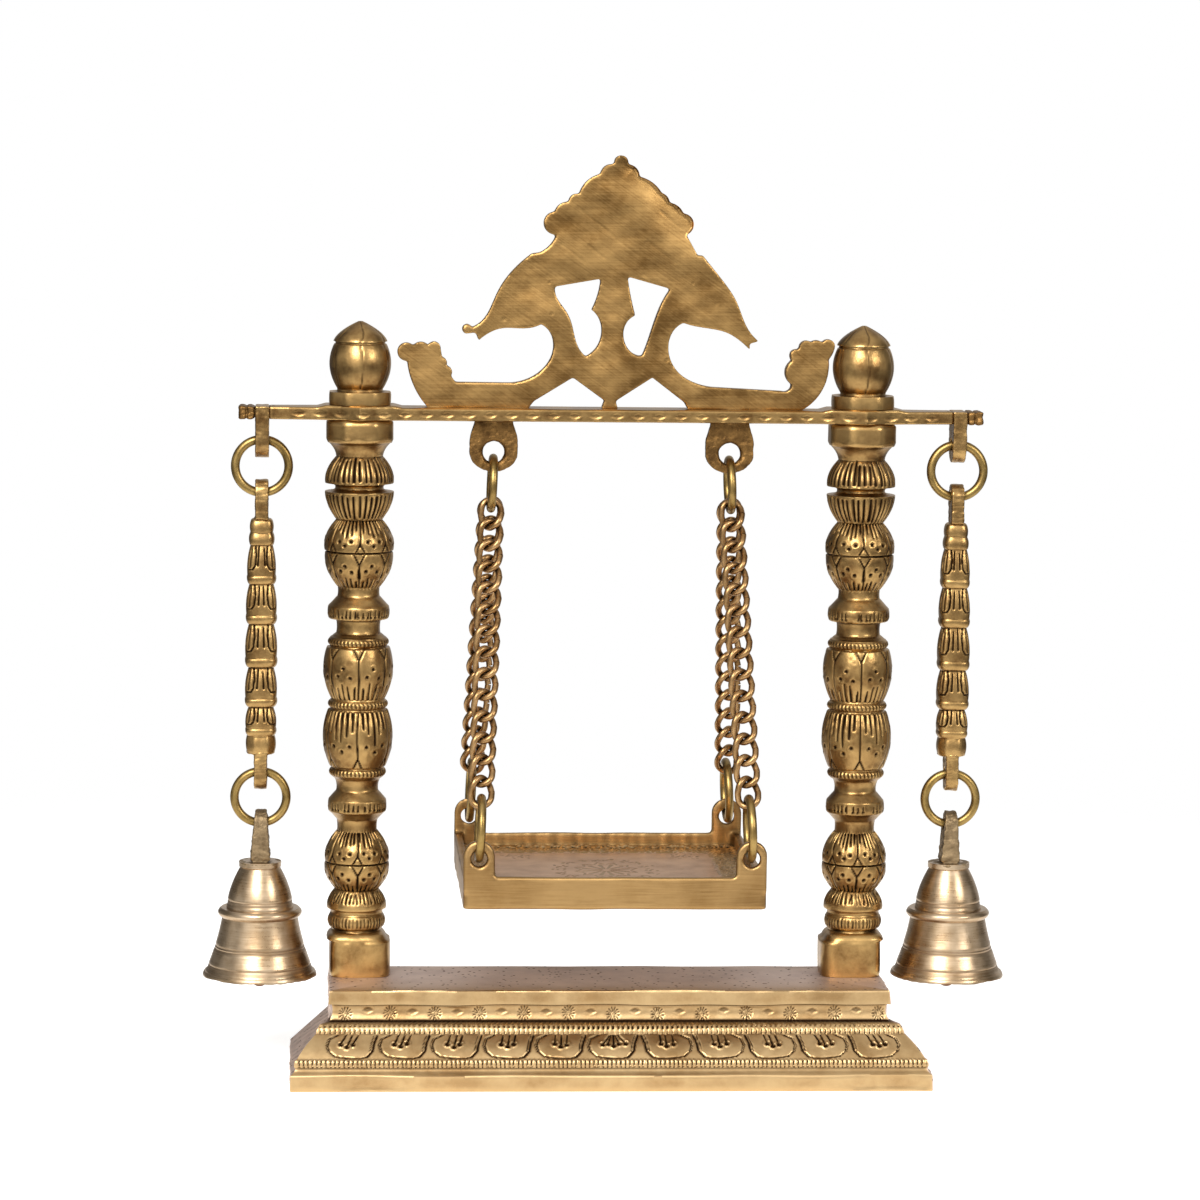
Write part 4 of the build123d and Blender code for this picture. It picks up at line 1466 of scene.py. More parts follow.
    def front_marks(self, zone: Zone, draw: Draw) -> list[Mark]:
        """Chased and stamped marks of one band of the front.

        Args:
            zone: the band.
            draw: source of the random numbers.

        Returns:
            The marks, by place along X and run up the band.
        """
        marks: list[Mark] = []
        half = self.width / 2
        if zone is Zone.PETALS:
            for n in range(-self.panels, self.panels + 1):
                marks += self.petal(n * self.panel_pitch + 0.6, draw)
        elif zone is Zone.UPPER_ROPE:
            for n in range(int(2 * half / self.upper_pitch)):
                x = n * self.upper_pitch - half + draw.uniform(-0.12, 0.12)
                strong = 0.62 + 0.38 * math.cos(x / 21)
                marks.append(Stroke(x, 3.3, x, 3.3 - 1.5 * strong, 0.46, 0.3, 0.5))
                marks.append(Stroke(x, 1.6, x, 0.3, 0.26, 0.22, 0.28 * (1.3 - strong)))
                marks.append(Dot(x, 0.25, 0.3, 0.3 * (1.4 - strong)))
        elif zone is Zone.LOWER_ROPE:
            for n in range(int(2 * half / self.lower_pitch)):
                x = n * self.lower_pitch - half + draw.uniform(-0.1, 0.1)
                marks.append(Stroke(x, 2.6, x, 0.9, 0.34, 0.24, 0.4))
                marks.append(Dot(x + 0.1, 0.25, 0.33, 0.42))
        elif zone is Zone.STAMPED:
            count = int(half * 0.88 / self.rosette_pitch)
            for n in range(-count, count + 1):
                x, y = n * self.rosette_pitch + 0.8, 2.5 + draw.uniform(-0.3, 0.3)
                turn = draw.uniform(0, 1)
                for k in range(self.rosette_rays):
                    bend = turn + k * 2 * math.pi / self.rosette_rays
                    cx, cy = math.cos(bend), math.sin(bend)
                    root, tip = (x + 0.7 * cx, y + 0.7 * cy), (x + 2.1 * cx, y + 2.1 * cy)
                    marks.append(Stroke(*root, *tip, 0.18, 0.26, 0.26))
                marks.append(Dot(x, y, 0.5, 0.16))
                y = 3.3 + draw.uniform(-0.3, 0.3)
                marks.append(Lozenge(x + self.rosette_pitch / 2, y, 2.2, 1.0, 0.2))
        return marks

    def plan(self, rows: dict[str, Array], bulge: Array) -> tuple[Array, Array, Array, Array]:
        """Goes round the casting: front, right end, back and left end.

        Args:
            rows: rows of the skin.
            bulge: how far the ends and the back's corners stand out past the steps, for each row.

        Returns:
            Places along x and y by row and column, and for each column its side, from 0 for the
            front to 3 for the left end, and its share of that side.
        """
        counts = (self.front_columns, self.end_columns, self.back_columns, self.end_columns)
        column = np.arange(sum(counts) + 1) % sum(counts)
        side = np.repeat(np.arange(4), counts)[column]
        share = (column - np.cumsum((0, *counts[:3]))[side]) / np.array(counts)[side]
        half = self.width / 2 - rows["end"]
        fore, rear = -self.front + rows["front"], self.back - rows["back"]
        x = np.zeros((len(half), len(column)))
        y = np.zeros_like(x)
        for number, way in enumerate((1, 1, -1, -1)):
            here = side == number
            s = share[here][None, :]
            if number % 2:
                t = s if way > 0 else 1 - s
                swell = ease(np.clip(t / self.sides_eased, 0, 1))
                x[:, here] = way * (half[:, None] + bulge[:, None] * swell)
                y[:, here] = fore[:, None] + (rear - fore)[:, None] * t
            else:
                x[:, here] = way * half[:, None] * (2 * s - 1)
                y[:, here] = (fore if way > 0 else rear)[:, None]
                if way < 0:
                    x[:, here] += np.sign(x[:, here]) * bulge[:, None] * np.abs(2 * s - 1)
        return x, y, side, share

    def casting(self) -> Piece:
        """Skin of the casting as one closed grid.

        Returns:
            The casting without its bosses.
        """
        rows = self.profile()
        run = rows["run"][:, None]
        zone = rows["zone"].astype(int)
        band = {kind: (zone == number)[:, None] for number, kind in enumerate(Zone)}
        outer = ~band[Zone.HOLLOW]
        x, y, side, share = self.plan(rows, self.end_bulge(rows, zone))
        z = widen(rows["z"], len(side))
        front = (side == 0)[None, :]
        cut = self.chasing(rows, zone, x, side == 0)
        step_in, step_up = np.gradient(rows["front"]), np.gradient(rows["z"])
        size = np.hypot(step_in, step_up).clip(TINY)
        y = y + cut * (step_up / size)[:, None] * front
        z = z + cut * (-step_in / size)[:, None] * front * outer
        rough = ripple(y + x * 0.6, z * 1.2, 4.5, 3) * 0.22 + ripple(y + x * 0.3, z, 1.7, 4) * 0.07
        ends = (side % 2 == 1)[None, :] & outer
        inside = np.clip(np.minimum(share, 1 - share) / 0.06, 0, 1)[None, :]
        x = x + np.sign(x) * rough * ends * inside
        edge = band[Zone.PLATE] | band[Zone.TOP]
        wave = ripple(x, 0 * x, 26.0, 8) * 0.35 + ripple(x, 0 * x, 9.0, 9) * 0.1
        y = y + wave * edge * front * np.exp(-run * 0.12)
        sag = band[Zone.PLATE] | (band[Zone.STAMPED] & (run > 4.6))
        below = (rows["z"] < self.top - 0.9)[:, None]
        z = z + ripple(x, 0 * x, 31.0, 12) * 0.3 * sag * front * below
        slab = band[Zone.SLAB] & (rows["z"] > 0.5)[:, None]
        y = y + ripple(x, z, 40.0, 2) * 0.25 * slab * front
        past = np.maximum(rows["front"] - self.plate_inset, 0)[:, None]
        level = np.exp(-past / self.edge_wave)
        z = z + band[Zone.TOP] * level * (ripple(x, y, 30.0, 6) * 0.14 + ripple(x, y, 11.0, 7) * 0.05)
        at_top = (np.abs(rows["z"] - self.top) < 0.01) & (rows["front"] < self.plate_inset + 0.4)
        filed = front & ((outer & ~band[Zone.TOP]) | at_top[:, None])
        near_edge = 0.9 * np.exp(-past / self.edge_glow) * band[Zone.TOP]
        filed = np.maximum(filed, near_edge * front)
        shade = np.where(band[Zone.STAMPED], 0.45, 1.0)
        layers = {"carved_and_shaded": np.clip(cut / 0.42, 0, 1) * shade, "filed": filed}
        place = np.stack([x, y, z], 2)
        across = len(side) - 1
        return bent_grid("casting", across, len(zone) - 1, lambda c, r: place[r, c % across], layers)

    def chasing(self, rows: dict[str, Array], zone: Array, x: Array, on_front: Array) -> Array:
        """Depth of the marks of the front, which fade out at its corners.

        Args:
            rows: rows of the skin.
            zone: number of the band of each row.
            x: places along X.
            on_front: which columns are on the front.

        Returns:
            Depth at each point.
        """
        cut = np.zeros_like(x)
        draw = np.random.default_rng(5)
        for number, kind in enumerate(Zone):
            marks = self.front_marks(kind, draw)
            if marks:
                here = np.ix_(zone == number, on_front)
                cut[here] = carve(x[here], widen(rows["run"][zone == number], on_front.sum()), marks)
        half = self.width / 2 - rows["end"]
        fade = np.clip((half[:, None] - np.abs(x)) / 1.2, 0, 1)
        return cut * np.where(on_front[None, :], fade, 1)

    def end_bulge(self, rows: dict[str, Array], zone: Array) -> Array:
        """How far the unfiled ends stand out past the steps, or in from them: one straight slope.

        Args:
            rows: rows of the skin.
            zone: number of the band of each row.

        Returns:
            Distance for each row.
        """
        rise = np.clip((rows["z"] - self.slope_foot) / self.slope_rise, 0, 1)
        stepped = (zone >= list(Zone).index(Zone.COVE)) & (zone <= list(Zone).index(Zone.STAMPED))
        return np.where(stepped, rows["end"] - self.plate_inset * self.end_share * rise, 0.0)

    def boss(self, x: float) -> Piece:
        """Screw boss under the roof of the hollow, bored for a screw head.

        Args:
            x: axis of the screw along X, in millimetres.

        Returns:
            The boss.
        """
        path = (
            (self.bore_radius, self.boss_seat), (self.bore_radius, self.boss_foot + 0.4),
            (self.bore_radius + 0.4, self.boss_foot), (self.boss_radius - 0.5, self.boss_foot),
            (self.boss_radius, self.boss_foot + 0.5), (self.boss_radius, 27.4),
        )
        radius = np.array([0.0, *(r for r, _ in path), 0.0])
        height = np.array([path[0][1], *(z for _, z in path), path[-1][1]])
        around = 40

        def bend(columns: Array, rows: Array) -> Array:
            """Places of the points of a column and row, in millimetres."""
            turn = (columns % around) * 2 * math.pi / around
            return np.stack([x + radius[rows] * np.sin(turn), radius[rows] * np.cos(turn), height[rows]], 1)

        return bent_grid("boss", around, len(radius) - 1, bend)


# ---- crossbar


@dataclass
class Crossbar:
    """Flat bar that swells to a blunt point over each pillar. Sizes in millimetres."""

    bench: Bench
    foot: float = 215.0
    thickness: float = 4.2
    swell_thickness: float = 4.9
    half_depth: float = 7.5
    end_half_depth: float = 4.75
    swell_half_depth: float = 12.4
    swell_reach: float = 14.0
    bar_end: float = 112.55
    neck_end: float = 120.3
    neck_half_depth: float = 4.0
    neck_height: float = 2.4
    punch_pitch: float = 6.95
    step: float = 0.36
    corner: float = 0.45
    buffed: float = 0.12  # how far the bar is freed of tarnish
    punches: int = 15  # on each side of the middle one
    punch_dark: float = 0.3
    joint_dark: float = 0.6  # where the straps and knobs meet the bar
    joint_reach: float = 1.6
    neck_dark: float = 0.7
    face_rows: int = 14
    flat_rows: int = 8

    def build(self) -> None:
        """Builds the bar and hands it over."""
        piece = self.bar()
        apply_modifier(piece, "SMOOTH", factor=0.4, iterations=2)
        smooth(piece, 50)
        weather(piece, broad=0.1)
        self.bench.hand_over(piece, CHASED, "frame", ["crossbar"])

    def bar(self) -> Piece:
        """Skin of the bar, from one neck to the other.

        Returns:
            The bar.
        """
        pillar = abs(middle_x("pillar_left"))
        count = round(2 * self.bar_end / self.step)
        x = np.concatenate([
            [-self.neck_end, -self.neck_end, -self.bar_end - 0.05],
            np.linspace(-self.bar_end, self.bar_end, count + 1),
            [self.bar_end + 0.05, self.neck_end, self.neck_end],
        ])
        far = np.abs(x)
        neck = far > self.bar_end + 0.01
        taper = np.clip((far - pillar) / (self.bar_end - pillar), 0, 1)
        swell = np.clip(1 - np.abs(far - pillar) / self.swell_reach, 0, 1)
        plan = self.half_depth + (self.end_half_depth - self.half_depth) * taper
        half = plan + (self.swell_half_depth - self.half_depth) * swell**1.25
        half = half + 0.16 * ripple(x, 0 * x, 17.0, 3)
        tall = self.thickness + (self.swell_thickness - self.thickness) * np.clip(swell * 5, 0, 1)
        low = np.full_like(x, self.foot)
        half[neck] = self.neck_half_depth
        tall[neck] = self.neck_height
        low[neck] = self.foot + (self.thickness - self.neck_height) / 2
        face = np.linspace(0, 1, self.face_rows)
        flat = np.linspace(1, -1, self.flat_rows)[1:-1]
        section = [(-1.0, v) for v in face] + [(-v, 1.0) for v in flat]
        section += [(1.0, v) for v in face[::-1]] + [(v, 0.0) for v in flat]
        across = np.array([s[0] for s in section] + [section[0][0]])
        rise = np.array([s[1] for s in section] + [section[0][1]])
        middle = self.thickness * 0.5
        numbers = range(-self.punches, self.punches + 1)
        marks = [Lozenge(n * self.punch_pitch + 1.2, middle, 2.3, 1.0, 0.26) for n in numbers]
        up = rise[None, :] * tall[:, None]
        y = across[None, :] * half[:, None]
        at_corner = (np.abs(across) == 1) & ((rise == 0) | (rise == 1))
        y = y - np.sign(y) * self.corner * at_corner[None, :]
        on_face = (across == -1.0) & (rise > 0) & (rise < 1)
        wide = widen(x, len(section) + 1)
        cut = carve(wide, up, marks) * on_face[None, :] * ~neck[:, None]
        y = y + cut
        joint = np.abs(far - self.bar_end) < self.joint_reach
        dark = np.clip(cut / 0.24, 0, 1) * self.punch_dark + self.joint_dark * joint[:, None]
        dark = dark - self.buffed * ~neck[:, None] + self.neck_dark * neck[:, None]
        y[0] = y[-1] = 0
        up[0] = up[-1] = self.neck_height / 2
        place = np.stack([wide, y, low[:, None] + up], 2)
        return bent_grid("punched_bar", len(section), len(x) - 1, lambda c, r: place[r, c], {"carved_and_shaded": dark})


# ---- crest


@dataclass
class Crest:
    """Pierced plate with two birds and a fan between them. Sizes in millimetres."""

    bench: Bench
    cell: float = 0.42
    fan_foot: float = 268.0
    edge_facing: float = 0.997  # faces turned further from the front than this, the side walls, get painted shade
    edge_fade: float = 0.06
    # strength of the painted shade on the side walls
    side_wall_shade: float = 1.0
    mark_tarnish: float = 4.0
    slope_start: tuple[float, float] = (2.4, 303.0)
    slope_end: tuple[float, float] = (26.5, 281.0)
    slope_width: float = 12.0
    slope_depth: float = 2.4
    dents: int = 11
    scratches: int = 6
    marked: tuple[float, float, float, float] = (-38.0, 38.0, 232.0, 300.0)  # where dents and scratches lie

    def build(self) -> None:
        """Builds the plate and hands it over."""
        piece = self.bench.worn_copy("crest", "peacock_crest", voxel=self.cell, settle=4)
        points = points_of(piece) / MM
        facing = normals_of(piece)[:, 1]
        x, z = points[:, 0], points[:, 2]
        run = np.array(self.slope_end) - np.array(self.slope_start)
        run = run / np.hypot(*run)
        inside = (x - self.slope_start[0]) * run[1] - (z - self.slope_start[1]) * run[0]
        along = (x - self.slope_start[0]) * run[0] + (z - self.slope_start[1]) * run[1]
        slope = np.clip(1 - inside / self.slope_width, 0, 1) ** 1.5 * np.clip(along / 6, 0, 1)
        slope = slope * np.clip((z - self.fan_foot) / 8, 0, 1)
        lumps = 0.3 * ripple(x, z, 24.0, 1) + 0.08 * ripple(x, z, 8.0, 2)
        marks = carve(x, z, self.marks())
        push = np.clip(-facing, 0, 1) ** 2 * (slope * self.slope_depth + lumps + marks)
        pull = np.clip(facing, 0, 1) ** 2 * lumps
        points[:, 1] += push - pull
        place_points(piece, points * MM)
        # Painted shade: faces turned away from the front, the side walls, get the dark tarnish colour through
        # this layer; the dents and scratches get real tarnish.
        edge = np.clip((self.edge_facing - np.abs(facing)) / self.edge_fade, 0, 1) * self.side_wall_shade
        edge = edge + np.clip(-facing, 0, 1) * np.clip(marks, 0, 1) * self.mark_tarnish
        add_layer(piece, "carved_and_shaded", edge)
        smooth(piece, 60)
        weather(piece, broad=0.0, polish=0.0)
        self.bench.hand_over(piece, BRUSHED, "frame", ["crest"])

    def marks(self) -> list[Mark]:
        """Small dents and a few long scratches that cross the brushing.

        Returns:
            The marks, by place along X and Z.
        """
        draw = np.random.default_rng(29)
        left, right, low, high = self.marked
        ranges = ((left, right), (low, high), (0.5, 0.9), (0.05, 0.13))
        marks: list[Mark] = [Dot(*(draw.uniform(*span) for span in ranges)) for _ in range(self.dents)]
        for _ in range(self.scratches):
            x, z = draw.uniform(0.5 * left, 0.4 * right), draw.uniform(low + 26, high - 12)
            long = draw.uniform(4.0, 12.0)
            marks.append(Stroke(x, z, x + long, z - 0.8 * long, 0.5, 0.42, 0.08))
        return marks


# ---- seat


@dataclass
class Seat:
    """Shallow tray with an engraved floor. Sizes in millimetres."""

    bench: Bench
    half_width: float = 46.5
    half_depth: float = 42.5
    panel_half_width: float = 37.55
    panel_half_depth: float = 33.55
    floor_height: float = 5.6
    sink: float = 0.45
    cell: float = 0.62
    wave: float = 0.1
    wave_size: float = 14.0
    rub: float = 0.2
    rub_size: float = 4.5
    hole_rise: float = 3.2
    hole_reach: float = 4.4
    hole_dark: float = 0.9
    buried: float = 1.5  # how far the floor's skirt goes into the tray
    bead_height: float = 0.95
    bead_width: float = 1.25
    border_edge: float = 2.2  # how sharply the panel turns into the border
    border_dark: float = 0.45
    columns: int = 250
    rows: int = 220

    def build(self) -> None:
        """Builds the tray and its floor and hands them over."""
        tray = self.bench.worn_copy("seat", "seat_tray", voxel=self.cell, settle=2)
        self.wear(tray)
        self.bench.hand_over(tray, TRAY, "seat", ["seat"])
        floor = self.floor()
        smooth(floor, 70)
        weather(floor, broad=0.0)
        self.bench.hand_over(floor, ENGRAVED, "seat", [])
        self.bench.second_coat(floor, FILED, "border", 0.5)

    def wear(self, tray: Piece) -> None:
        """Makes the walls of the tray wavy and darkens them round the holes of the lugs.

        Args:
            tray: the tray.
        """
        points, normals = points_of(tray) / MM, normals_of(tray)
        past_x, past_y = np.abs(points[:, 0]) - self.half_width, np.abs(points[:, 1]) - self.half_depth
        past, side = np.maximum(past_x, past_y), past_x > past_y
        over = lumpy(points, self.wave_size, 3) * self.wave
        inward = -np.where(side, normals[:, 0] * np.sign(points[:, 0]), normals[:, 1] * np.sign(points[:, 1]))
        run = np.where(side, points[:, 1], points[:, 0])
        over = over + np.clip(inward, 0, 1) * ripple(run, points[:, 2] * 0.2, self.rub_size, 9) * self.rub
        over = over * np.clip((past + 1.0) / 1.5, 0, 1)
        place_points(tray, (points + normals * over[:, None]) * MM)
        dark = np.zeros(len(points))
        for name in [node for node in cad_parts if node.startswith("seat_ring")]:
            low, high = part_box(name)
            hole = np.array([(low.x + high.x) / 2, (low.y + high.y) / 2, low.z]) / MM + (0, 0, self.hole_rise)
            far = np.linalg.norm(points - hole, axis=1)
            dark = np.maximum(dark, self.hole_dark * np.exp(-((far / self.hole_reach) ** 2)))
        for layer in ("hollow", "worn"):
            tray.data.attributes.remove(tray.data.attributes[layer])
        add_layer(tray, "carved_and_shaded", dark)
        smooth(tray, 60)
        weather(tray, broad=0.0, polish=0.4)

    def flower(self) -> list[Mark]:
        """Engraved flower in the middle of the panel, with sprigs round it.

        Returns:
            The marks, by place along X and Y.
        """
        draw = np.random.default_rng(17)
        marks: list[Mark] = []
        for k in range(12):
            turn = k * math.pi / 6 + 0.2
            cx, cy = math.cos(turn), 1.35 * math.sin(turn)
            marks.append(Stroke(1.8 * cx, 1.8 * cy, 7.5 * cx, 7.5 * cy, 0.3, 0.75, 0.32))
            for way in (-1, 1):
                bend = turn + way * 0.2
                bx, by = math.cos(bend), 1.35 * math.sin(bend)
                marks.append(Stroke(8.5 * bx, 8.5 * by, 10.6 * cx, 10.6 * cy, 0.35, 0.25, 0.28))
        for k in range(18):
            turn = k * math.pi / 9
            x, y = 15.5 * math.cos(turn), 19.5 * math.sin(turn)
            for _ in range(5):
                dx, dy = draw.uniform(-2.2, 2.2, 2)
                tip = x + dx + draw.uniform(-1.4, 1.4)
                marks.append(Stroke(x + dx, y + dy, tip, y + dy + 1.2, 0.4, 0.3, 0.26))
        for sx in (-1, 1):
            for sy in (-1, 1):
                for _ in range(26):
                    x, y = sx * draw.uniform(24, 34), sy * draw.uniform(22, 31)
                    marks.append(Dot(x, y, 0.55, 0.24))
        return marks

    def floor(self) -> Piece:
        """Floor of the tray: a smooth sunk panel in a stippled border, with a bead along the walls.

        Returns:
            The floor.
        """
        level = foot_z("seat") + self.floor_height
        spread = np.concatenate([[-1.0], np.linspace(-1, 1, self.columns - 1), [1.0]])
        reach = np.concatenate([[-1.0], np.linspace(-1, 1, self.rows - 1), [1.0]])
        x, y = np.meshgrid(spread * self.half_width, reach * self.half_depth)
        wall = np.minimum(self.half_width - np.abs(x), self.half_depth - np.abs(y))
        over = np.maximum(np.abs(x) - self.panel_half_width, np.abs(y) - self.panel_half_depth)
        over = over + 0.5 * ripple(x, y, 9.0, 3)
        border = 1 / (1 + np.exp(-over * self.border_edge))
        draw = np.random.default_rng(23)
        grit = draw.normal(0, 1, x.shape)
        grit = (grit + np.roll(grit, 1, 0) + np.roll(grit, 1, 1) + np.roll(grit, (1, 1), (0, 1))) / 2
        grit = grit * 0.12 + ripple(x, y, 2.3, 5) * 0.1
        cut = carve(x, y, self.flower())
        pit = np.clip(-grit, 0, 1) * border
        z = level + 0.05 - self.sink * (1 - border) + border * grit + 0.04 * ripple(x, y, 14.0, 6) - cut
        bead = self.bead_height * np.exp(-((wall / self.bead_width) ** 2))
        z = z + bead * (1 + 0.18 * ripple(x, y, 5.0, 7))
        rim = np.zeros_like(z, bool)
        rim[[0, -1]] = True
        rim[:, [0, -1]] = True
        z[rim] = level - self.buried
        place = np.stack([x, y, z], 2)
        dark = np.clip(cut / 0.3, 0, 1) + np.clip(pit / 0.2, 0, 1) * self.border_dark
        layers = {"carved_and_shaded": dark, "border": border}
        return bent_grid("engraved_floor", self.columns, self.rows, lambda c, r: place[r, c], layers)


# ---- bells and what they hang on


@dataclass
class Bells:
    """Two turned bells, each under a cast bar of five buds. Sizes in millimetres."""

    bench: Bench
    lip: float = 29.9
    columns: int = 160
    grooves: tuple[float, ...] = (54.9, 54.0, 39.9, 38.9, 33.4, 32.5)
    groove_width: float = 0.34
    groove_depth: float = 0.26
    crown_foot: float = 67.2
    lug_foot: float = 1.5
    lug_head: float = 0.85
    lug_lean: float = 0.25
    lug_box: tuple[float, float, float] = (1.2, 2.7, 59.5)
    outside: tuple[Step, ...] = (
        Step(1.5, 18.9, 18.75, 18.3),
        Step(18.1, 17.9, 14.6, 12.5),
        Step(3.0, 12.9, 13.9, 12.9),
        Step(13.8, 11.1, 9.6, 6.4),
        Step(1.7, 6.95, 6.95, 6.95),
    )
    inside: tuple[Step, ...] = (Step(20.0, 16.9, 12.1, 10.7), Step(11.0, 9.3, 7.8, 4.2))
    buds: tuple[Step, ...] = (
        Step(6.1, 4.4, 4.95, 4.5, form=Form.OCTAGON),
        Step(2.4, 4.5, 5.1, 5.0, form=Form.CUSHION),
        Step(7.2, 4.95, 5.0, 3.9, Chase.BUD, Form.CUSHION),
        Step(2.8, 4.6, 5.3, 5.2, form=Form.CUSHION),
        Step(10.4, 5.1, 5.15, 4.0, Chase.BUD, Form.CUSHION),
        Step(3.0, 4.7, 5.3, 5.2, form=Form.CUSHION),
        Step(11.3, 5.1, 5.15, 4.0, Chase.BUD, Form.CUSHION),
        Step(2.9, 4.5, 5.1, 5.0, form=Form.CUSHION),
        Step(10.3, 4.9, 4.95, 3.9, Chase.BUD, Form.CUSHION),
        Step(2.7, 4.3, 4.8, 4.75, form=Form.CUSHION),
        Step(10.2, 4.65, 4.6, 3.6, Chase.BUD, Form.CUSHION),
        Step(4.1, 3.9, 4.2, 3.7, form=Form.CUSHION),
        Step(4.5, 3.7, 3.9, 3.3, form=Form.CUSHION),
    )
    buds_foot: float = 104.1
    buds_head: float = 182.0

    def build(self) -> None:
        """Builds the bells, their crowns and the bead bars and hands them over."""
        for number, (name, side) in enumerate(SIDES.items()):
            x = middle_x("bell_" + name)
            bell = self.body("turned_bell_" + name, x, 41 + number)
            lug = self.bench.worn_copy("bell_" + name, "lug")
            wide, deep, top = self.lug_box
            keep_box(lug, (x - wide, -deep, None), (x + wide, deep, top))
            bell = join("turned_bell_" + name, [bell, lug])
            smooth(bell, 35)
            self.bench.hand_over(bell, TURNED, "bell_" + name, ["bell_" + name])
            crown = self.bench.worn_copy(
                "bell_" + name, "bell_crown_" + name, voxel=0.32, lumps=0.13,
                keep=((None, None, self.crown_foot), OPEN),
            )
            self.taper(crown, x)
            weather(crown, broad=0.0, polish=0.4)
            self.bench.hand_over(crown, ROUGH, "bell_" + name, [])
            self.bead_bar(name, x, 61 + number)

    def taper(self, crown: Piece, x: float) -> None:
        """Makes the lug of a crown broader at its foot, narrow and leaning at its head.

        Args:
            crown: the crown.
            x: axis of the bell along X, in millimetres.
        """
        points = points_of(crown) / MM
        foot, head = self.crown_foot + 1.6, points[:, 2].max()
        rise = np.clip((points[:, 2] - foot) / (head - foot), 0, 1)
        low = np.clip((points[:, 2] - foot + 0.6) / 0.6, 0, 1)
        wide = 1 + low * (self.lug_foot - 1 + (self.lug_head - self.lug_foot) * rise)
        points[:, 0] = x + (points[:, 0] - x) * wide + self.lug_lean * rise * low
        place_points(crown, points * MM)

    def body(self, name: str, x: float, seed: int) -> Piece:
        """Turned body of a bell, inside and outside.

        Args:
            name: name of the piece.
            x: axis of the bell along X.
            seed: start of the random numbers.

        Returns:
            The body.
        """
        outer = trace(self.outside, self.lip, 0.42)
        inner = trace(self.inside, self.lip, 2.0)
        radius = np.array([0.0, *(r for r, _ in inner[::-1]), *(r for r, _ in outer), 0.0])
        height = np.array([inner[-1][1], *(z for _, z in inner[::-1]), *(z for _, z in outer), outer[-1][1]])
        groove = np.zeros_like(radius)
        for z in self.grooves:
            groove = groove + np.exp(-(((height - z) / self.groove_width) ** 2))
        groove[: len(inner) + 1] = 0
        radius = radius - groove * self.groove_depth
        turn = np.linspace(0, 2 * math.pi, self.columns + 1)
        wave = ripple(np.cos(turn) * 19, np.sin(turn) * 19, 11.0, seed) * 0.16
        wave = wave + ripple(np.cos(turn) * 19, np.sin(turn) * 19, 3.0, seed + 5) * 0.09
        lip = np.exp(-(height - self.lip) / 0.9)
        dark = 0.5 * groove[:, None] + np.clip(wave * 5, 0, 1)[None, :] * lip[:, None] * 0.5

        def bend(columns: Array, rows: Array) -> Array:
            """Places of the points of a column and row, in millimetres."""
            at = turn[columns % self.columns]
            z = height[rows] + wave[columns % self.columns] * lip[rows]
            return np.stack([x + radius[rows] * np.sin(at), -radius[rows] * np.cos(at), z], 1)

        return bent_grid(name, self.columns, len(radius) - 1, bend, {"hollow": dark})

    def bead_bar(self, name: str, x: float, seed: int) -> None:
        """Bead bar: a row of slit buds between two pierced plates.

        Args:
            name: side of the swing.
            x: axis of the bar along X.
            seed: start of the random numbers.
        """
        turning = Turning(self.buds, self.buds_foot, x, seed, columns=128, fine=0.34, coarse=0.6)
        buds = turning.build("buds")
        node = "bead_bar_" + name
        above = ((None, None, self.buds_head - 0.8), OPEN)
        below = (OPEN, (None, None, self.buds_foot + 0.8))
        upper, lower = (
            self.bench.worn_copy(node, part, voxel=0.3, lumps=0.08, keep=keep)
            for part, keep in (("upper", above), ("lower", below))
        )
        apply_modifier(buds, "SMOOTH", factor=0.4, iterations=2)
        smooth(buds, 60)
        weather(buds)
        piece = join("budded_bar_" + name, [buds, upper, lower])
        self.bench.hand_over(piece, CHASED, node, [node])


def trace(steps: Sequence[Step], foot: float, pitch: float) -> list[tuple[float, float]]:
    """Radius and height of points up a stack of turned steps.

    Args:
        steps: steps from the foot up.
        foot: height of the foot.
        pitch: spacing of the points.

    Returns:
        Pairs of radius and height.
    """
    points = []
    z = foot
    for step in steps:
        count = max(2, round(step.height / pitch))
        for k in range(count + 1):
            points.append((step.radius(k / count), z + step.height * (k / count)))
        z += step.height
    return points


# ---- straps, knobs, eyes and rings


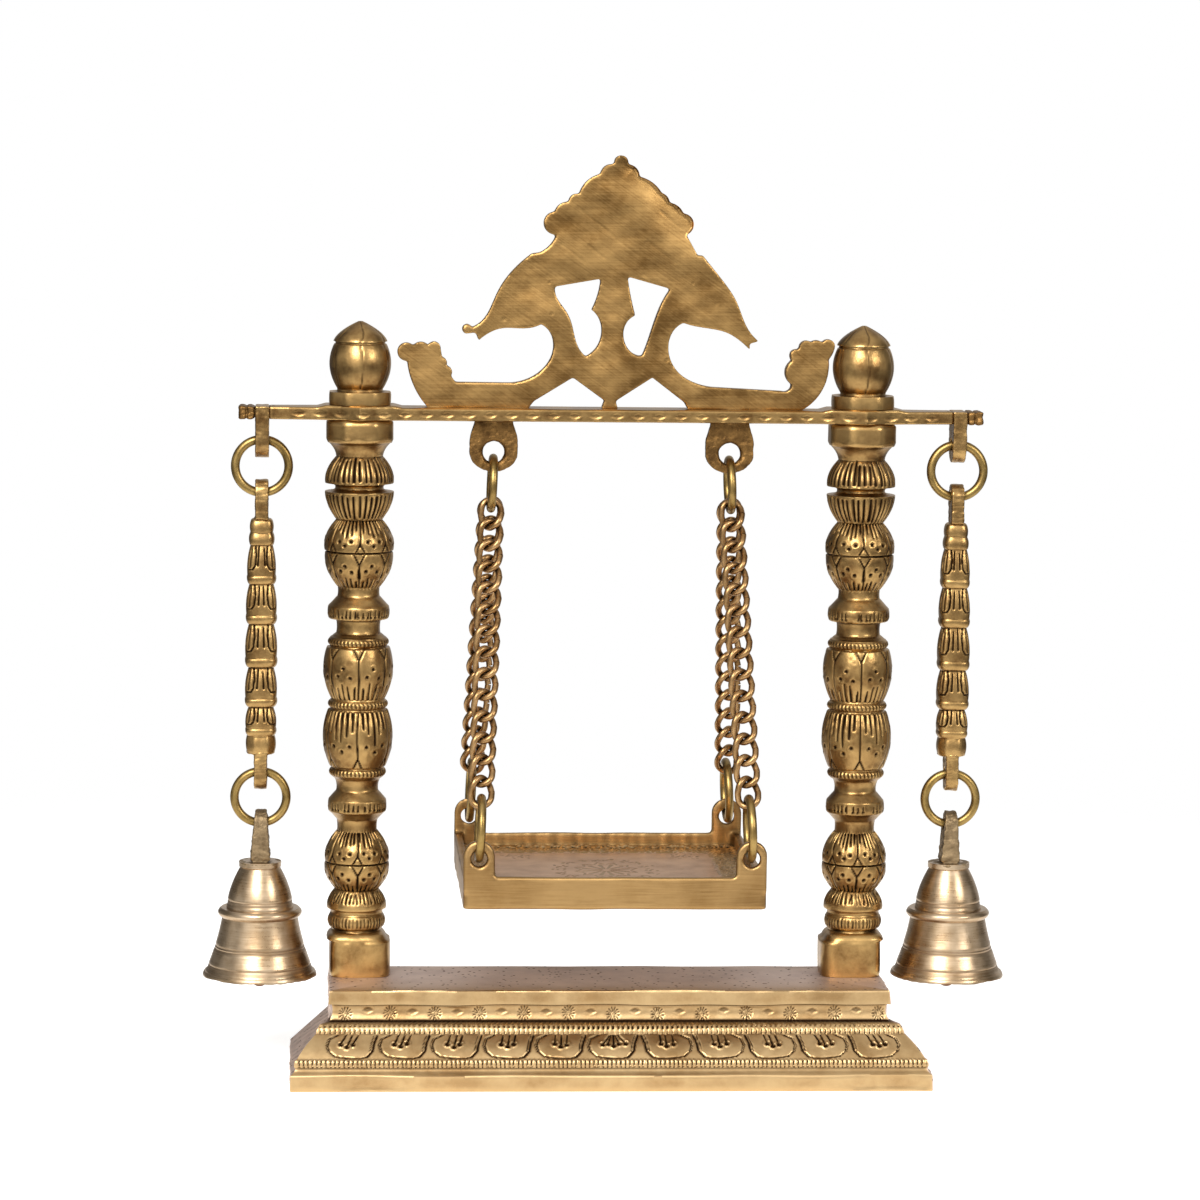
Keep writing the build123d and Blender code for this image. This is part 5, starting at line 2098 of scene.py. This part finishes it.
@dataclass
class Fittings:
    """Straps and knobs at the ends of the bar, swing eyes, rings, chains and screws."""

    bench: Bench
    cell: float = 0.3
    bar_middle: float = 217.1
    strap_share: float = 0.72
    knob_share: float = 0.68
    eye_level: float = 208.0
    eye_rise: float = 7.0
    eye_draw: float = 0.2
    drawn: tuple[str, ...] = ("seat_ring", "swing_ring", "upper_ring", "lower_ring")

    def build(self) -> None:
        """Roughens the small castings and dresses the drawn wire and the fasteners."""
        for name in SIDES:
            strap = self.bench.worn_copy("bell_strap_" + name, "strap_" + name, voxel=self.cell, lumps=0.05)
            self.level(strap, self.strap_share, below=False)
            self.bench.hand_over(strap, CHASED, "frame", ["bell_strap_" + name])
            knob = self.bench.worn_copy("end_knob_" + name, "bar_knob_" + name, voxel=self.cell, lumps=0.12)
            self.level(knob, self.knob_share, below=True)
            self.bench.hand_over(knob, TONED, "frame", ["end_knob_" + name], CHASED.name)
            eye = self.bench.worn_copy("swing_eye_" + name, "cast_eye_" + name, voxel=self.cell, lumps=0.07)
            self.narrow(eye, middle_x("swing_eye_" + name))
            self.bench.hand_over(eye, TONED, "frame", ["swing_eye_" + name])
            self.bench.dress("clapper_" + name, CLAPPER)
        self.dress_wire()

    def level(self, piece: Piece, share: float, below: bool) -> None:
        """Draws a piece in towards the middle of the bar, above it and, if asked, below it.

        Args:
            piece: piece at the end of the bar.
            share: share of its height that is left.
            below: whether the part below the middle is drawn in too.
        """
        points = points_of(piece)
        far = points[:, 2] - self.bar_middle * MM
        drawn = (far > 0) | below
        points[:, 2] -= np.where(drawn, far * (1 - share), 0.0)
        place_points(piece, points)

    def narrow(self, eye: Piece, x: float) -> None:
        """Draws the head of a swing eye in, where it meets the bar.

        Args:
            eye: the swing eye.
            x: its middle along X, in millimetres.
        """
        points = points_of(eye)
        rise = ease(np.clip((points[:, 2] / MM - self.eye_level) / self.eye_rise, 0, 1))
        points[:, 0] = x * MM + (points[:, 0] - x * MM) * (1 - self.eye_draw * rise)
        place_points(eye, points)

    def dress_wire(self) -> None:
        """Dresses the drawn wire and the fasteners."""
        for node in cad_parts:
            if node.startswith("chain"):
                self.bench.dress(node, LINKED)
            elif node.startswith(self.drawn):
                self.bench.dress(node, DRAWN)
            elif node in ("base_screws", "base_washers", "top_studs"):
                self.bench.dress(node, STEEL)


# ---- camera, floor and light


@dataclass(frozen=True)
class Lobe:
    """One soft panel of the studio."""

    direction: tuple[float, float, float]
    start: float  # cosine of the angle from its middle at which the panel begins
    full: float  # cosine at which it has its whole strength
    strength: float


@dataclass(frozen=True)
class Studio:
    """Pale floor, soft light and the camera. Lengths in metres, angles in degrees."""

    distance: float = 1.5
    height: float = 0.3257
    azimuth: float = -3.88
    pitch: float = 6.47
    roll: float = 0.75
    focal_pixels: float = 4560.0
    frame_pixels: float = 1200.0
    aim_x: float = -0.0032
    sensor: float = 36.0
    floor_radius: float = 0.62
    floor_glow: float = 0.5
    ambient: float = 0.14
    lobes: tuple[Lobe, ...] = (
        Lobe((-0.5, -1.0, 0.5), 0.76, 0.95, 1.0),
        Lobe((0.55, -1.0, 0.45), 0.88, 0.98, 0.55),
        Lobe((0.1, -1.0, -0.05), 0.86, 0.98, 0.3),
        Lobe((0.0, -0.15, 1.0), 0.5, 0.95, 0.75),
        Lobe((1.0, -0.25, 0.1), 0.93, 0.99, 0.5),
        Lobe((-1.0, -0.1, 0.15), 0.93, 0.99, 0.5),
        Lobe((0.35, 1.0, 0.3), 0.7, 0.95, 0.5),
    )

    def build(self) -> None:
        """Sets up the camera, the floor and the light."""
        self.camera()
        self.floor()
        self.world()
        self.lamps()
        bpy.context.scene.view_settings.view_transform = "Standard"

    def camera(self) -> None:
        """Long lens, a little to the left and above the object, looking down."""
        data = bpy.data.cameras.new("camera")
        data.sensor_width = self.sensor
        data.lens = self.sensor * self.focal_pixels / self.frame_pixels
        camera = put("camera", data)
        turn = math.radians(self.azimuth)
        over, fore = self.distance * math.sin(turn), -self.distance * math.cos(turn)
        place = Vector((over + self.aim_x, fore, self.height))
        look = Vector((-math.sin(turn), math.cos(turn), -math.tan(math.radians(self.pitch))))
        spin = look.to_track_quat("-Z", "Y").to_matrix().to_4x4()
        roll = Matrix.Rotation(math.radians(self.roll), 4, "Z")
        camera.matrix_world = Matrix.Translation(place) @ spin @ roll
        bpy.context.scene.camera = camera

    def floor(self) -> None:
        """Pale round floor that fades into the surroundings."""
        clear()
        bpy.ops.mesh.primitive_circle_add(vertices=96, radius=self.floor_radius, fill_type="NGON")
        floor = bpy.context.object
        floor.name = "floor"
        made = bpy.data.materials.new("pale_floor")
        tree = empty_tree(made)
        place = add(tree, "TexCoord").outputs["Object"]
        far = add(tree, "VectorMath", {0: place}, operation="LENGTH").outputs["Value"]
        fade = add(
            tree, "MapRange", {0: far, 1: self.floor_radius * 0.3, 2: self.floor_radius * 0.97},
            interpolation_type="SMOOTHSTEP",
        )
        paper = add(tree, "BsdfPrincipled", {
            "Base Color": linear("#F4F4F2"), "Roughness": 0.9, "Emission Color": (1, 1, 1, 1),
            "Emission Strength": self.floor_glow,
        })
        away = add(tree, "BsdfTransparent")
        mix = add(tree, "MixShader", {0: fade.outputs[0], 1: paper.outputs[0], 2: away.outputs[0]})
        add(tree, "OutputMaterial", {"Surface": mix.outputs[0]})
        floor.data.materials.append(made)

    def world(self) -> None:
        """White surroundings, and soft panels with darker gaps between them that the metal reflects."""
        world = bpy.data.worlds.new("studio")
        bpy.context.scene.world = world
        tree = empty_tree(world)
        way = add(tree, "TexCoord").outputs["Generated"]
        total: Socket | float = self.ambient
        for lobe in self.lobes:
            unit = tuple(Vector(lobe.direction).normalized())
            facing = add(tree, "VectorMath", {0: way, 1: unit}, operation="DOT_PRODUCT").outputs["Value"]
            glow = add(
                tree, "MapRange", {0: facing, 1: lobe.start, 2: lobe.full, 3: 0.0, 4: lobe.strength},
                interpolation_type="SMOOTHSTEP",
            ).outputs[0]
            total = add(tree, "Math", {0: glow, 1: total}, operation="ADD").outputs[0]
        panels = add(tree, "Background", {"Color": (1, 1, 1, 1), "Strength": total})
        paper = add(tree, "Background", {"Color": (1, 1, 1, 1), "Strength": 1.0})
        seen = add(tree, "LightPath").outputs["Is Camera Ray"]
        mix = add(tree, "MixShader", {0: seen, 1: panels.outputs[0], 2: paper.outputs[0]})
        add(tree, "OutputWorld", {"Surface": mix.outputs[0]})

    def lamps(self) -> None:
        """Soft lamps before and above the object: name, place, size and power."""
        lamps = (("key", (-0.5, -1.3, 1.1), 0.6, 22.0), ("fill", (0.9, -0.9, 0.7), 0.4, 6.0))
        for name, place, size, power in lamps:
            data = bpy.data.lights.new(name, "AREA")
            data.size = size
            data.energy = power
            lamp = put(name, data)
            lamp.location = place
            lamp.rotation_euler = (Vector((0, 0, 0.15)) - Vector(place)).to_track_quat("-Z", "Y").to_euler()


def main() -> None:
    """Builds every sub-assembly in order."""
    logging.basicConfig(level=logging.INFO, format="%(message)s")
    bench = Bench()
    for assembly in (Pillars, Base, Crossbar, Crest, Seat, Bells, Fittings):
        LOG.info("building %s", assembly.__name__)
        assembly(bench).build()
    Studio().build()


if __name__ == "__main__":
    main()
